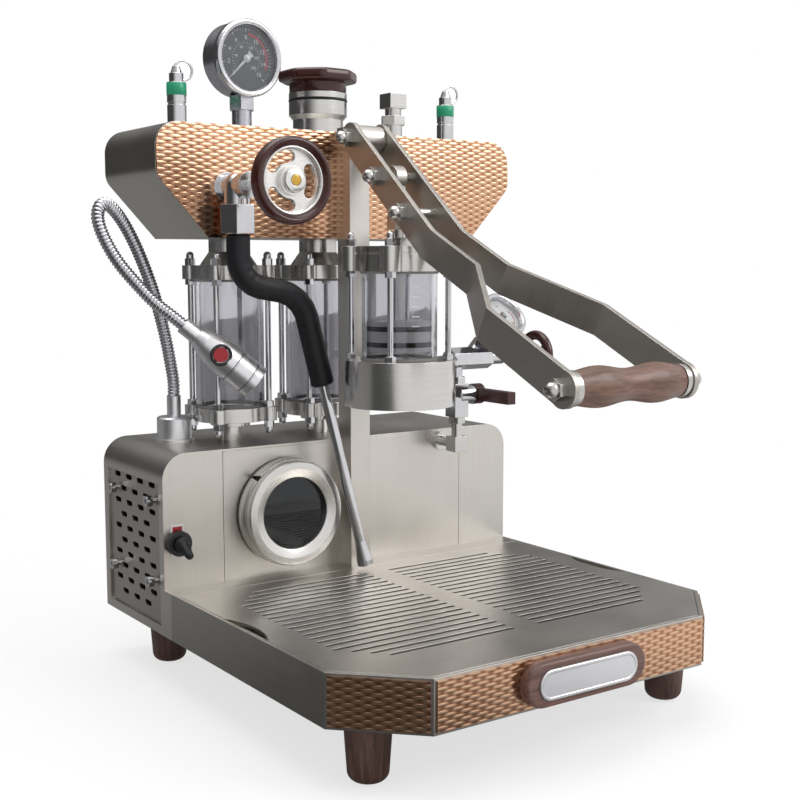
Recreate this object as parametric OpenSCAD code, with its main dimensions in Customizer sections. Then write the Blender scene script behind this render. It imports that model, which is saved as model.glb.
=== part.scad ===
// Lever espresso machine: a steel base with a drip tray, a glass lever group on a square post,
// two glass water columns and a tank with copper weave cladding on top.
// Millimetres, +Z up, the front faces -Y. The origin is the middle of the whole machine on the table.
// Inside the modules x = 0 is the middle of the machine and y = 0 is the plane of the front panel.

/* [Base] */
// Width of the base, the drip tray and the tank
body_w = 360; // [340:1:400]
// Depth of the base behind the panel
base_depth = 125; // [118:1:160]
// Height of the top of the base above the table
base_top = 196; // [192:1:206]
// Radius of the long upper edges of the base
base_edge_r = 22; // [8:1:30]
// Thickness of the sheet steel
sheet = 2; // [1.5:0.25:2.5]
// Half the width of the middle front panel
panel_half_w = 125; // [120:1:132]
// Height of the wooden feet
foot_h = 44; // [38:1:52]
// Radius of a foot at its top
foot_r = 17; // [14:1:22]
// Distance of a foot's axis from the side of the machine
foot_inset = 36; // [28:1:50]
// Width of a vent plate
vent_w = 114; // [108:1:116]
// Rows of vent slots
vent_rows = 10; // [6:1:10]

/* [Drip tray] */
// Depth of the tray in front of the panel
tray_depth = 303; // [280:1:340]
// Height of the tray's walls
tray_h = 39; // [34:1:44]
// Leg of the two chamfered front corners
tray_chamfer = 52; // [40:1:64]
// Thickness of the tray's walls
tray_wall = 3; // [2:0.5:5]
// Thickness of the drip grate
grate_t = 3; // [2:0.5:4]
// Depth of the ledge behind the grate
tray_ledge = 24; // [22:1:27]
// Rows of drip slots
slot_rows = 20; // [10:1:20]
// Distance from one drip slot to the next
slot_pitch = 10.4; // [9:0.1:10.8]
// Width of a drip slot
slot_w = 4; // [3:0.5:6]
// Thickness of the copper cladding
clad_t = 1.5; // [1:0.25:3]
// Width of the badge plaque
plaque_w = 108; // [80:1:140]
// Thickness of the badge plaque
plaque_t = 9; // [5:1:12]

/* [Porthole] */
// Sideways position of the porthole
porthole_x = -66; // [-70:1:-62]
// Height of the porthole
porthole_z = 138; // [136:1:140]
// Radius of the porthole's front ring
porthole_r = 45; // [43:0.5:46]
// Radius of the porthole's clear opening
porthole_open_r = 31; // [26:0.5:34]
// Length of the boiler behind the panel
boiler_len = 104; // [80:1:108]

/* [Tank] */
// Height of the underside of the tank above the base
tank_rise = 176; // [170:1:188]
// Height of the tank
tank_h = 92; // [84:1:110]
// Width of the tank's underside
tank_bottom_w = 270; // [250:1:290]
// Height of the tank's sloped lower sides
tank_slope_h = 49; // [40:1:56]
// Radius of the tank's upper edges
tank_edge_r = 20; // [8:1:26]
// Depth of the tank
tank_depth = 104; // [98:1:124]

/* [Glass columns] */
// Sideways position of the left column
column_x = -91; // [-94:1:-86]
// Distance between the two columns
column_pitch = 91; // [90:1:96]
// Distance of the columns behind the panel
column_y = 50; // [48:1:54]
// Outer radius of the column glass
column_glass_r = 30; // [26:0.5:30]
// Wall of the glass tubes
glass_t = 4; // [3:0.5:6]
// Radius of the circle of a column's tie rods
column_rod_r = 35; // [34.5:0.5:37]
// Thickness of the column flanges
flange_t = 12; // [8:1:16]
// Length of the lower column neck
neck_low_h = 18; // [16:1:22]
// Length of the upper column neck
neck_high_h = 23; // [18:1:26]
// Radius of the column necks
neck_r = 17; // [12:1:20]

/* [Post and group] */
// Side of the square post
post_w = 20; // [18:1:22]
// Distance of the group's axis in front of the panel
group_y = 80; // [79:1:84]
// Height of the underside of the group ring above the base
ring_rise = 37; // [32:1:44]
// Height of the group ring
ring_h = 38.5; // [34:0.5:42]
// Radius of the group ring
ring_r = 46; // [45:0.5:48]
// Length of the glass cylinder
cylinder_h = 73; // [72:1:80]
// Outer radius of the glass cylinder
cylinder_r = 31.5; // [29:0.5:33]
// Height of the group cap
cap_h = 20.5; // [16:0.5:24]
// Radius of the circle of the group's tie rods
group_rod_r = 41; // [40:0.5:42]
// Radius of the socket for the filter holder
socket_r = 35; // [30:0.5:37]
// Depth of the socket for the filter holder
socket_h = 14; // [10:1:18]
// Height of the piston
piston_h = 25; // [18:1:27]
// Height of the piston above the floor of its cylinder
piston_lift = 7; // [5:1:8]
// Radius of the piston rod
piston_rod_r = 5; // [4:0.5:6]

/* [Lever] */
// Distance of the lever's pivot in front of the panel
pivot_y = 31; // [30.5:0.5:33]
// Height of the lever's pivot above the base
pivot_rise = 260; // [254:1:266]
// Distance from the pivot to the link bolt
link_bolt_at = 53.7; // [52:0.1:55]
// Distance from the pivot to the front bolt
front_bolt_at = 102; // [96:1:112]
// Distance from the pivot to the bend in the arms
arm_bend_at = 141.4; // [136:0.1:150]
// Distance from the bend to the handle
arm_reach = 224; // [200:1:250]
// Slope of the arms above the bend, in degrees
arm_drop_high = 39.4; // [38:0.1:40]
// Slope of the arms below the bend, in degrees
arm_drop_low = 25; // [20:1:28]
// Width of the arms
arm_w = 25; // [20:1:27]
// Thickness of the arms
arm_t = 4; // [3:0.5:5]
// Gap between the arms at the pivot
arm_gap = 26; // [25:0.5:30]
// Gap between the arms at the handle
handle_gap = 106; // [90:1:130]
// Largest radius of the wooden handle
handle_r = 14; // [11:0.5:18]

/* [Steam valve and wand] */
// Sideways position of the steam valve
steam_x = -119; // [-122:1:-117]
// Distance of the steam valve's outlet in front of the panel
steam_y = 22; // [20:1:24]
// Height of the steam valve's spindle above the underside of the tank
steam_rise = 41; // [36:1:46]
// Distance of the handwheel in front of the panel
wheel_y = 108; // [90:1:120]
// Radius of the steam handwheel
wheel_r = 33; // [26:0.5:38]
// Thickness of the handwheel's rim
wheel_rim = 8; // [6:0.5:10]
// Radius of the wand tube
wand_r = 4.5; // [3.5:0.5:5]
// Radius of the wand's rubber sleeve
sleeve_r = 10; // [8:0.5:10.5]
// Height of the wand's tip above the drip grate
wand_tip_gap = 4; // [2:0.5:20]

/* [Water inlet] */
// Sideways position of the inlet riser
riser_x = 103; // [101:1:106]
// Distance of the inlet riser in front of the panel
riser_y = 25; // [24:1:28]
// Radius of the inlet pipes
pipe_r = 5; // [4:0.5:6]
// Distance of the water handwheel from the middle of the machine
water_wheel_x = 198; // [194:1:204]
// Radius of the water handwheel
water_wheel_r = 23; // [18:0.5:26]

/* [Gauges] */
// Radius of the tank gauge
gauge_r = 31.5; // [28:0.5:34]
// Radius of the group gauge
group_gauge_r = 22; // [19:0.5:24]
// Depth of the tank gauge's case
gauge_depth = 25; // [20:1:30]
// Height of the tank gauge's centre above the tank
gauge_rise = 61; // [58:1:66]

/* [Tank fittings] */
// Distance of the left safety valve from the tank's side
valve_left_inset = 42; // [38:1:48]
// Distance of the right safety valve from the tank's side
valve_right_inset = 37; // [34:1:46]
// Sideways position of the tank gauge
gauge_x = -77; // [-84:1:-72]
// Sideways position of the vent fitting
vent_x = 82; // [70:1:92]
// Radius of the filler collar
filler_r = 26; // [22:0.5:30]
// Radius of the filler cap's knob
filler_knob_r = 36; // [30:0.5:40]

/* [Lamp and switch] */
// Radius of the lamp's foot
lamp_foot_r = 15; // [12:0.5:16]
// Radius of the lamp's head
lamp_head_r = 15; // [13:0.5:16]
// Length of the lamp's head
lamp_head_len = 62; // [54:1:66]
// Radius of the gooseneck over its ribs
goose_r = 5.4; // [4.5:0.1:5.6]
// Number of ribs along the gooseneck
goose_ribs = 100; // [40:1:120]
// Height of the toggle switch
toggle_z = 122; // [118:1:130]

/* [Fits] */
// Radial clearance of a shaft that turns or slides
run_gap = 0.05; // [0.02:0.01:0.09]
// Clearance between a piece and the seat that holds it
seat_gap = 0.05; // [0.02:0.01:0.1]
// Clearance between two pieces that move past each other
free_gap = 0.4; // [0.3:0.05:0.6]

/* [Hidden] */
$fn = 48;

// Shared heights and planes
half_w = body_w / 2;
tray_top = foot_h + tray_h;
tank_z = base_top + tank_rise;
tank_top = tank_z + tank_h;
ring_z = base_top + ring_rise;
pivot_z = base_top + pivot_rise;
steam_z = tank_z + steam_rise;
fitting_y = tank_depth / 2 - 4;
tank_side_r = 16;
seam_y = 14;
stub = seam_y - 0.4;

// A hair of overlap between joined shapes, and the length of a tool that cuts right through
eps = 0.01;
cut_len = 100;

// Screws and nuts shared by the flanges and the lever
rod_r = 2.5;
rod_hole_r = rod_r + 0.3;
nut_af = 8;
nut_h = 5;
acorn_h = 12;
seal_t = 2;
// Share of an ear's width that runs on to the middle of its flange
ear_web = 0.94;

// Glass columns
column_low_z = base_top + neck_low_h;
column_high_z = tank_z - neck_high_h - flange_t;
column_disc_r = column_glass_r + 2.5;
column_ear_r = 7;
column_places = [[column_x, column_y, 0], [column_x + column_pitch, column_y, 0]];

// Group
group_place = [0, -group_y, 0];
ring_top = ring_z + ring_h;
cap_z = ring_top + cylinder_h;
cap_top = cap_z + cap_h;
cap_disc_r = cylinder_r + 4.5;
cap_ear_r = 9;
cylinder_bore_r = cylinder_r - glass_t;
rod_thread = 10;
screen_r = socket_r - 6;
screen_t = 3;
screen_hub_r = 6;
screen_hub_h = 8;
passage_r = 3;
passage_at = 15;
gland_h = 7;
gland_af = 20;
piston_z = ring_top + piston_lift;
rod_seat = 10;
piston_seal_h = 4;
piston_seal_depth = 3;
piston_seal_places = [4, piston_h - 4 - piston_seal_h];

// Lever
arm_bolt_r = 4;
pivot_barrel_r = 11;
splay_from = 64;
splay_to = 134;
arm_outer = arm_gap / 2 + arm_t;
arm_eye_r = arm_w / 2 + 0.4;
bolt_nut_af = 13;
bolt_nut_h = 14;
handle_outer = handle_gap / 2 + arm_t;
// Share of the handle's radius that is left at its waist
handle_waist = 0.79;
function on_arm(d) = [0, -pivot_y - d * cos(arm_drop_high), pivot_z - d * sin(arm_drop_high)];
link_bolt = on_arm(link_bolt_at);
front_bolt = on_arm(front_bolt_at);
arm_bend = on_arm(arm_bend_at);
handle_at = arm_bend + arm_reach * [0, -cos(arm_drop_low), -sin(arm_drop_low)];
ferrule_t = 5;
handle_half = handle_gap / 2 - ferrule_t - free_gap;

// The link's upper eye is wider than its bolt, because the linkage is open there
link_slack = 2.6;
link_len = 34;
link_w = 10;
link_eye = link_bolt + [0, -1.95, -0.83];
link_eye_r = arm_bolt_r + link_slack + 3.4;
link_foot_r = 6;
link_pin_r = 3;
link_pin_z = link_eye[2] - sqrt(pow(link_len, 2) - pow(link_eye[1] + group_y, 2));
link_tilt = atan2(link_eye[1] + group_y, link_eye[2] - link_pin_z);
cheek_t = 3;
clevis_h = 9;

// Steam valve and wand
steam_place = [steam_x, 0, steam_z];
valve_r = 9;
valve_len = 34;
gland_len = 10;
spindle_r = 4;
hub_r = 11;
hub_len = 12;
wheel_nut_af = 7;
wheel_nut_h = 4;
wand_block_af = 27;
wand_block_z = tank_z + 3;
wand_block_h = 23;
wand_socket = 11;
wand_turn = 7;
wand_bend_z = tank_z - 16.4;
wand_bend_r1 = 25;
wand_bend_r2 = 32;
wand_turn1 = 80;
wand_turn2 = 66;
wand_run = 14.5;
sleeve_end = 58;
wand_tip_r = 7;
wand_tip_len = 22;

// Water inlet
riser_place = [riser_x, -riser_y, 0];
elbow_z = base_top - 11;
elbow_size = 14;
ball_z = base_top + 14;
ball_h = 31;
ball_w = 15;
stem_z = ball_z + 20;
stem_r = 9;
stem_len = 9;
ball_stem_r = 3;
pipe_nut_af = 14;
pipe_nut_h = 6;
lever_len = 52;
cross_z = ring_top - 8;
cross_af = 18;
cross_left = 9;
cross_len = 45;
branch_x = 14;
ring_hole_depth = 8;
water_bonnet_r = 7;
water_bonnet_len = 16;
water_spindle_r = 3;
water_rim_r = 4.5;

// Tank fittings
valve_xs = [-half_w + valve_left_inset, half_w - valve_right_inset];
relief_r = 8;
relief_h = 37;
pull_stem_r = 3;
pull_stem_len = 15;
pull_cap_r = 6;
pull_cap_h = 7;
pull_ring_r = 8;
pull_wire_r = 1;
filler_bore_r = filler_r - 10;
filler_h = 37.5;
filler_groove_z = 30;

// Gauges
gauge_foot_r = 8.5;
gauge_foot_h = 18;
gauge_nut_af = 20;
gauge_nut_h = 11;
gauge_stem_r = 6;
gauge_place = [gauge_x, fitting_y, tank_top];
gauge_turn = 5;
gauge_front = 14;
bezel_w = 3.5;
dial_depth = 7;
glass_depth = 1;
gauge_glass_t = 2;
needle_t = 1.5;
needle_w = 1.6;
needle_lift = 0.6;
needle_pin_len = 3.5;
needle_pin_r = 1.5;
needle_hub_r = 3.5;
needle_rest = 135;
group_gauge_rise = 41.5;
group_gauge_face = [150, -38, cross_z + group_gauge_rise];
group_gauge_turn = 10;
group_gauge_tilt = 40;
group_gauge_depth = 22;
gauge_neck = 10;
gauge_pipe_r = 5;

// Lamp
lamp_inset = 43;
lamp_back = 68;
lamp_rise = 96;
lamp_place = [-half_w + lamp_inset, lamp_back, base_top];
lamp_flange_r = lamp_foot_r + 2;
lamp_flange_t = 3;
lamp_foot_h = 22;
lamp_ferrule_h = 18;
lamp_ferrule_r = 6;
lamp_pin_r = 4;
lamp_pin_len = 12;
lamp_neck = lamp_place + [-10, -lamp_back, lamp_rise];
lamp_dir = [45, -16, -40];
lamp_collar_len = 14;
lamp_collar_r = 7;
lamp_grooves = [8, 24];
rocker_at = 24;
rocker_r = 6;
rocker_h = 7;
rocker_axle_r = 1.2;
rocker_axle_at = 8.8;
rocker_axle_half = 8.2;
rocker_tilt = 6;
rocker_seat = rocker_axle_at - rocker_axle_r - rocker_r * sin(rocker_tilt) - free_gap;
goose_bore_r = 3;
goose_groove = 0.8;
goose_sides = 8;
goose_start = lamp_place + [0, 0, lamp_foot_h + lamp_ferrule_h + free_gap];
goose_end = lamp_neck - lamp_collar_len * unit(lamp_dir);
goose_lead = 12;
goose_turns = [
    [-2, 0, 66], [-6, -1, 86], [-11, -2, 106], [-18, -5, 127], [-27, -8, 149], [-39, -13, 172],
    [-52, -18, 191], [-65, -24, 202], [-74, -29, 201], [-78, -33, 191], [-75, -37, 176],
    [-66, -42, 157], [-54, -48, 140], [-41, -55, 124]
];
goose_bend = [
    goose_start, goose_start + [0, 0, goose_lead], for (p = goose_turns) lamp_place + p,
    goose_end - goose_lead * unit(lamp_dir), goose_end
];
goose_steps = 8;

// Base, tray and switch details
toggle_x = -half_w + 12;
toggle_collar_r = 10.5;
toggle_collar_h = 7;
toggle_pivot_y = 10;
toggle_ball_r = 6.5;
toggle_tilt = 25;
toggle_len = 18;
vent_lap = 3;
vent_rise = 4.5;
vent_h = base_top - base_edge_r - foot_h - vent_rise;
vent_mid_y = base_depth / 2 - 0.5;
vent_mid_z = foot_h + vent_rise + vent_h / 2;
vent_slots_up = 4.5;
vent_screw_mid = [-2.75, 9.75];
vent_screw_d = [38.25, 34];
vent_slot_len = 13;
vent_slot_h = 4.5;
screw_r = 2;
screw_head_r = 4.6;
screw_proud = 6;
screw_head_h = 5;
inlet_inset = 70;
inlet_x = half_w - inlet_inset;
inlet_z = foot_h + 34;
inlet_w = 27;
inlet_h = 20;
inlet_depth = 18;
grate_gap = 0.5;
shelf_w = 6;
shelf_t = 2;
notch_r = 74;
notch_depth = 9;
notch_y = tray_depth / 2 - 16;
slot_gap = 11;
slot_end = half_w - 30;
slot_first = tray_ledge + 23;
plaque_h = tray_h + 2;
foot_back = 53;

// Porthole stack, from the front panel to the front
boiler_r = porthole_r - 5;
boiler_wall = 2;
boiler_flange_r = porthole_r - 3;
porthole_clamp_y = 2;
porthole_seal_y = 8;
porthole_glass_y = 10;
porthole_ring_y = 14;
porthole_front_y = 22;
porthole_place = [porthole_x, 0, porthole_z];
heater_r = 4;
heater_bend_r = 14;
heater_stub = 12;

// The whole machine is moved so that the middle of its box is at the origin
box_left = min([for (p = goose_bend) p[0]]) - goose_r;
box_right = water_wheel_x + water_rim_r;
box_front = handle_at[1] - handle_r;
machine_place = [-(box_left + box_right) / 2, -(box_front + base_depth + 3) / 2, 0];

function unit(v) = v / norm(v);

// A cylinder with a hole along its axis
module tube(r_out, r_in, h) {
    difference() {
        cylinder(r = r_out, h = h);
        translate([0, 0, -1]) cylinder(r = r_in, h = h + 2);
    }
}

// A hexagonal prism measured across its flats
module hex(af, h) cylinder(r = af / 2 / cos(30), h = h, $fn = 6);

// A domed nut
module acorn(af, h) {
    dome_r = af * 0.42;
    hex(af, h * 0.5);
    cylinder(r = dome_r, h = h - dome_r);
    translate([0, 0, h - dome_r]) sphere(r = dome_r);
}

// A tool that cuts a groove around a shaft
module groove(r, depth, w) tube(r + 1, r - depth, w);

// Turn a shape built upwards to the front, to the right or along a direction
module forward() rotate([90, 0, 0]) children();
module rightward() rotate([0, 90, 0]) children();
module aim(v) rotate([0, acos(v[2] / norm(v)), atan2(v[1], v[0])]) children();

// Four places on a circle, at the corners of a square
module corners(r) for (a = [45:90:315]) rotate([0, 0, a]) translate([r, 0, 0]) rotate([0, 0, 30]) children();

// A round flange with four ears
module eared(disc_r, place_r, ear_r, h) {
    linear_extrude(h) difference() {
        union() {
            circle(disc_r);
            corners(place_r) circle(ear_r);
            for (a = [45, 135]) rotate([0, 0, a]) square([2 * place_r, 2 * ear_r * ear_web], center = true);
        }
        corners(place_r) circle(rod_hole_r);
    }
}

// Side view of the base: a box with rounded upper edges
module base_outline(inset, low = foot_h) {
    w = half_w - inset;
    top = base_top - inset;
    r = base_edge_r - inset;
    polygon([[-w, low], [w, low], [w, top - r], [w - r, top], [-w + r, top], [-w, top - r]]);
    for (s = [-1, 1]) translate([s * (w - r), top - r]) circle(r);
}

// Front view of the tank: sloped lower sides and rounded upper edges
module tank_outline(inset) {
    slope = atan2(tank_slope_h, half_w - tank_bottom_w / 2);
    w = half_w - inset;
    low_w = tank_bottom_w / 2 - inset * tan(slope / 2);
    low = tank_z + inset;
    mid = tank_z + tank_slope_h + inset * tan(45 - slope / 2);
    top = tank_top - inset;
    r = tank_edge_r - inset;
    side_r = tank_side_r - inset;
    t = side_r * tan(45 - slope / 2);
    half = [
        [low_w, low], [w - t * cos(slope), mid - t * sin(slope)], [w, mid + t], [w, top - r], [w - r, top]
    ];
    polygon(concat(half, [for (i = [len(half) - 1:-1:0]) [-half[i][0], half[i][1]]]));
    for (s = [-1, 1]) {
        translate([s * (w - r), top - r]) circle(r);
        translate([s * (w - side_r), mid + t]) circle(side_r);
    }
}

// Plan of the tray between two distances in front of the front panel
module tray_outline(inset, back) {
    w = half_w - inset;
    front = tray_depth - inset;
    c = tray_chamfer - inset * (2 - sqrt(2));
    polygon([
        [-w, -back], [-w, -front + c], [-w + c, -front], [w - c, -front], [w, -front + c], [w, -back]
    ]);
}

// Extrudes an outline drawn in x and z between two distances behind the panel
module front_extrude(y_front, y_back) {
    translate([0, y_back, 0]) forward() linear_extrude(y_back - y_front) children();
}

// Extrudes an outline drawn in forward distance and z between two places across the machine
module side_extrude(x_left, x_right) {
    translate([x_right, 0, 0]) rotate([90, 0, -90]) linear_extrude(x_right - x_left) children();
}

// A slot with round ends, drawn along x
module slot(len, w) {
    square([len - w, w], center = true);
    for (s = [-1, 1]) translate([s * (len - w) / 2, 0]) circle(w / 2, $fn = 24);
}

// Bent floor and back of the base
module chassis() color("DimGray") {
    gap = sheet + seat_gap;
    difference() {
        union() {
            translate([-half_w + gap, sheet, foot_h])
                cube([2 * (half_w - gap), base_depth - sheet, sheet]);
            front_extrude(base_depth - sheet, base_depth) base_outline(gap);
        }
        translate([inlet_x, base_depth, inlet_z]) cube([inlet_w, cut_len, inlet_h], center = true);
    }
}

// Wrapped steel cover with its two front strips and the stubs beside the tray
module base_housing() color("Silver") difference() {
    union() {
        front_extrude(0, base_depth) difference() {
            base_outline(0);
            base_outline(sheet, foot_h - 1);
        }
        front_extrude(0, sheet) difference() {
            base_outline(0);
            translate([-panel_half_w, 0]) square([2 * panel_half_w, base_top - sheet]);
        }
        for (s = [-1, 1]) translate([s * (half_w - sheet / 2), -stub / 2, foot_h + tray_h / 2])
            cube([sheet, stub, tray_h], center = true);
    }
    for (s = [-1, 1]) translate([s * half_w, vent_mid_y, vent_mid_z])
        cube([6 * sheet, vent_w - 2 * vent_lap, vent_h - 2 * vent_lap], center = true);
    translate([toggle_x, 0, toggle_z]) forward()
        cylinder(r = toggle_ball_r, h = 6 * sheet, center = true);
    translate([lamp_place[0], lamp_place[1], base_top - 2 * sheet])
        cylinder(r = lamp_pin_r, h = 4 * sheet);
}

// Middle panel with the holes for the boiler and the inlet pipe
module front_panel() color("Silver") difference() {
    gap = 0.3;
    translate([-panel_half_w + gap, 0, foot_h])
        cube([2 * (panel_half_w - gap), sheet, base_top - foot_h - sheet - seat_gap]);
    translate(porthole_place) forward()
        cylinder(r = boiler_r + seat_gap, h = cut_len, center = true);
    translate([riser_x, 0, elbow_z]) forward()
        cylinder(r = pipe_r + seat_gap, h = cut_len, center = true);
}

// Slots of a vent plate: staggered rows of three and four
module vent_slots() {
    border = 2.5;
    bridge = 11;
    pitch = (vent_h - 2 * (vent_lap + border)) / vent_rows;
    for (row = [0:vent_rows - 1]) {
        count = 3 + row % 2;
        up = vent_slots_up + (row - (vent_rows - 1) / 2) * pitch;
        for (i = [0:count - 1]) translate([(i - (count - 1) / 2) * (vent_slot_len + bridge), up])
            slot(vent_slot_len, vent_slot_h);
    }
}

// Places of the four screws on each side
module vent_screw_places() {
    for (s = [-1, 1], dy = [-1, 1], dz = [-1, 1])
        translate([s * half_w, vent_mid_y, vent_mid_z])
            translate([0, vent_screw_mid[0] + dy * vent_screw_d[0], vent_screw_mid[1] + dz * vent_screw_d[1]])
                rotate([0, s * 90, 0]) children();
}

// Slotted plates behind the openings in both sides
module vent_plates() color("Gray") difference() {
    for (s = [-1, 1])
        translate([s * (half_w - 1.5 * sheet - seat_gap) - sheet / 2, vent_mid_y, vent_mid_z])
            rotate([90, 0, 90]) linear_extrude(sheet) difference() {
                square([vent_w, vent_h], center = true);
                vent_slots();
            }
    vent_screw_places() cylinder(r = screw_r + seat_gap, h = cut_len, center = true);
}

// Socket screws that stand proud of the vent plates, each with a nut inside
module vent_screws() color("Silver") vent_screw_places() {
    inner = -2 * sheet - seat_gap;
    tail = 6;
    screw_nut_af = 7;
    screw_nut_h = 4;
    key_af = 4.6;
    key_depth = 2;
    translate([0, 0, inner - tail]) cylinder(r = screw_r, h = screw_proud - key_depth - inner + tail);
    translate([0, 0, inner - screw_nut_h - eps]) hex(screw_nut_af, screw_nut_h);
    difference() {
        translate([0, 0, screw_proud - screw_head_h]) cylinder(r = screw_head_r, h = screw_head_h);
        translate([0, 0, screw_proud - key_depth]) hex(key_af, cut_len);
    }
}

// Appliance inlet in the back
module mains_inlet() color("Black") {
    rim = 4;
    rim_t = 3;
    wall = 1.75;
    body_len = 21;
    pin = [2, 4, 11];
    pin_pitch = 7;
    pin_rows = [-2, 3, -2];
    translate([inlet_x, base_depth, inlet_z]) rotate([-90, 0, 0]) {
        difference() {
            union() {
                translate([0, 0, rim_t / 2])
                    cube([inlet_w + 4 * rim, inlet_h + 2 * rim, rim_t], center = true);
                translate([0, 0, (1 - body_len) / 2])
                    cube([inlet_w - 2 * seat_gap, inlet_h - 2 * seat_gap, body_len], center = true);
            }
            translate([0, 0, rim_t + 1 - inlet_depth / 2])
                cube([inlet_w - 2 * wall, inlet_h - 2 * wall, inlet_depth + 2], center = true);
        }
        for (i = [0:2]) translate([(i - 1) * pin_pitch, pin_rows[i], rim_t - inlet_depth + pin[2] / 2 - eps])
            cube(pin, center = true);
    }
}

// Tray with its walls, floor, shelf and rear ledge
module tray_body() color("Silver") {
    rear_w = half_w - sheet - seat_gap;
    shelf_z = tray_top - grate_t - shelf_t;
    cavity_inset = tray_wall + sheet;
    difference() {
        union() {
            translate([0, 0, foot_h]) linear_extrude(tray_h) tray_outline(0, seam_y);
            translate([-rear_w, -seam_y - eps, foot_h]) cube([2 * rear_w, seam_y + eps, tray_h]);
        }
        translate([0, 0, foot_h + sheet]) linear_extrude(shelf_z - foot_h - sheet)
            tray_outline(cavity_inset, cavity_inset);
        translate([0, 0, shelf_z - 1]) linear_extrude(shelf_t + 2)
            tray_outline(tray_wall + shelf_w, tray_ledge + shelf_w);
        translate([0, 0, tray_top - grate_t]) linear_extrude(grate_t + 1)
            tray_outline(tray_wall, tray_ledge);
    }
}

// Lift-out grate with two fields of slots and two finger notches
module drip_grate() color("DarkGray") {
    translate([0, 0, tray_top - grate_t]) linear_extrude(grate_t) difference() {
        tray_outline(tray_wall + grate_gap, tray_ledge + grate_gap);
        for (row = [0:slot_rows - 1], s = [-1, 1]) {
            edge = min(row, slot_rows - 1 - row);
            length = slot_end - slot_gap - max(0, 3 - edge) * 9;
            translate([s * (slot_gap + length / 2), -slot_first - row * slot_pitch]) slot(length, slot_w);
        }
        for (s = [-1, 1])
            translate([s * (half_w - tray_wall + notch_r - notch_depth), -notch_y]) circle(notch_r);
    }
}

// Copper weave plates on the tray's front and on its two chamfers
module tray_cladding() color("Peru") {
    margin = 2;
    front_w = body_w - 2 * tray_chamfer - 2 * margin;
    side_w = tray_chamfer * sqrt(2) - 2 * margin;
    clad_h = tray_h - 2 * margin;
    translate([0, 0, foot_h + tray_h / 2]) {
        translate([0, -tray_depth - clad_t / 2, 0]) cube([front_w, clad_t, clad_h], center = true);
        for (s = [-1, 1])
            translate([s * (half_w - tray_chamfer / 2), -tray_depth + tray_chamfer / 2, 0])
                rotate([0, 0, s * 45]) translate([0, -clad_t / 2, 0])
                    cube([side_w, clad_t, clad_h], center = true);
    }
}

// Wooden plaque for the badge
module badge_plaque() color("SaddleBrown") {
    translate([0, -tray_depth - clad_t, foot_h + tray_h / 2]) forward()
        linear_extrude(plaque_t) slot(plaque_w, plaque_h);
}

// Four turned feet
module feet() color("SaddleBrown") {
    toe_r = foot_r - 5;
    round_r = 3;
    for (x = [-1, 1], y = [-tray_depth + tray_chamfer + 2, base_depth - foot_back])
        translate([x * (half_w - foot_inset), y, 0]) rotate_extrude() union() {
            polygon([
                [0, 0], [toe_r - round_r, 0], [toe_r, round_r], [foot_r, foot_h - 6],
                [foot_r, foot_h], [0, foot_h]
            ]);
            intersection() {
                translate([toe_r - round_r, round_r]) circle(round_r);
                square([foot_r, foot_r]);
            }
        }
}

// Horizontal boiler with the flange that carries the porthole
module boiler_vessel() color("LightGray") translate(porthole_place + [0, boiler_len, 0]) forward() {
    tube_len = boiler_len + porthole_seal_y;
    difference() {
        union() {
            cylinder(r = boiler_r, h = tube_len);
            translate([0, 0, tube_len - porthole_seal_y + porthole_clamp_y])
                cylinder(r = boiler_flange_r, h = porthole_seal_y - porthole_clamp_y);
        }
        translate([0, 0, boiler_wall]) cylinder(r = boiler_r - boiler_wall, h = tube_len);
        for (s = [-1, 1]) translate([s * heater_bend_r, 0, -1])
            cylinder(r = heater_r + seat_gap, h = boiler_wall + 2);
    }
}

// Hairpin heater held in the back of the boiler
module heating_element() color("Gray") {
    straight = boiler_len - 40;
    translate(porthole_place + [0, boiler_len + heater_stub, 0]) forward() {
        for (s = [-1, 1]) translate([s * heater_bend_r, 0, 0])
            cylinder(r = heater_r, h = straight + heater_stub);
        translate([0, 0, straight + heater_stub]) rotate([90, 0, 0])
            rotate_extrude(angle = 180) translate([heater_bend_r, 0]) circle(heater_r);
    }
}

// Split band that clamps the porthole to the boiler
module porthole_clamp() color("Silver") translate(porthole_place) forward() difference() {
    translate([0, 0, porthole_clamp_y])
        tube(porthole_r + 1, boiler_flange_r + seat_gap, porthole_ring_y - porthole_clamp_y);
    rotate([0, 0, 135]) translate([porthole_r, 0, 0]) cube([20, 2, cut_len], center = true);
}

// Bevelled front ring
module porthole_ring() color("Silver") translate(porthole_place) forward() {
    bevel = 3;
    rotate_extrude() polygon([
        [porthole_open_r, porthole_ring_y], [porthole_r, porthole_ring_y],
        [porthole_r, porthole_front_y - bevel], [porthole_r - bevel, porthole_front_y],
        [porthole_open_r + bevel, porthole_front_y], [porthole_open_r, porthole_front_y - bevel]
    ]);
}

// Thick window of the porthole
module porthole_glass() color("DarkSlateGray", 0.5) translate(porthole_place) forward()
    translate([0, 0, porthole_glass_y])
        cylinder(r = boiler_flange_r - 1, h = porthole_ring_y - porthole_glass_y);

// Fixed part of the toggle switch
module toggle_body() color("Black") translate([toggle_x, 0, toggle_z]) difference() {
    switch_box = [14, 18, 24];
    union() {
        forward() cylinder(r = toggle_collar_r, h = toggle_collar_h);
        translate([0, sheet + seat_gap, 0]) forward()
            cylinder(r = toggle_ball_r - seat_gap, h = 2 * sheet);
        translate([0, sheet + seat_gap + switch_box[1] / 2, 0]) cube(switch_box, center = true);
    }
    translate([0, -toggle_pivot_y, 0]) sphere(r = toggle_ball_r + free_gap);
}

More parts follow.
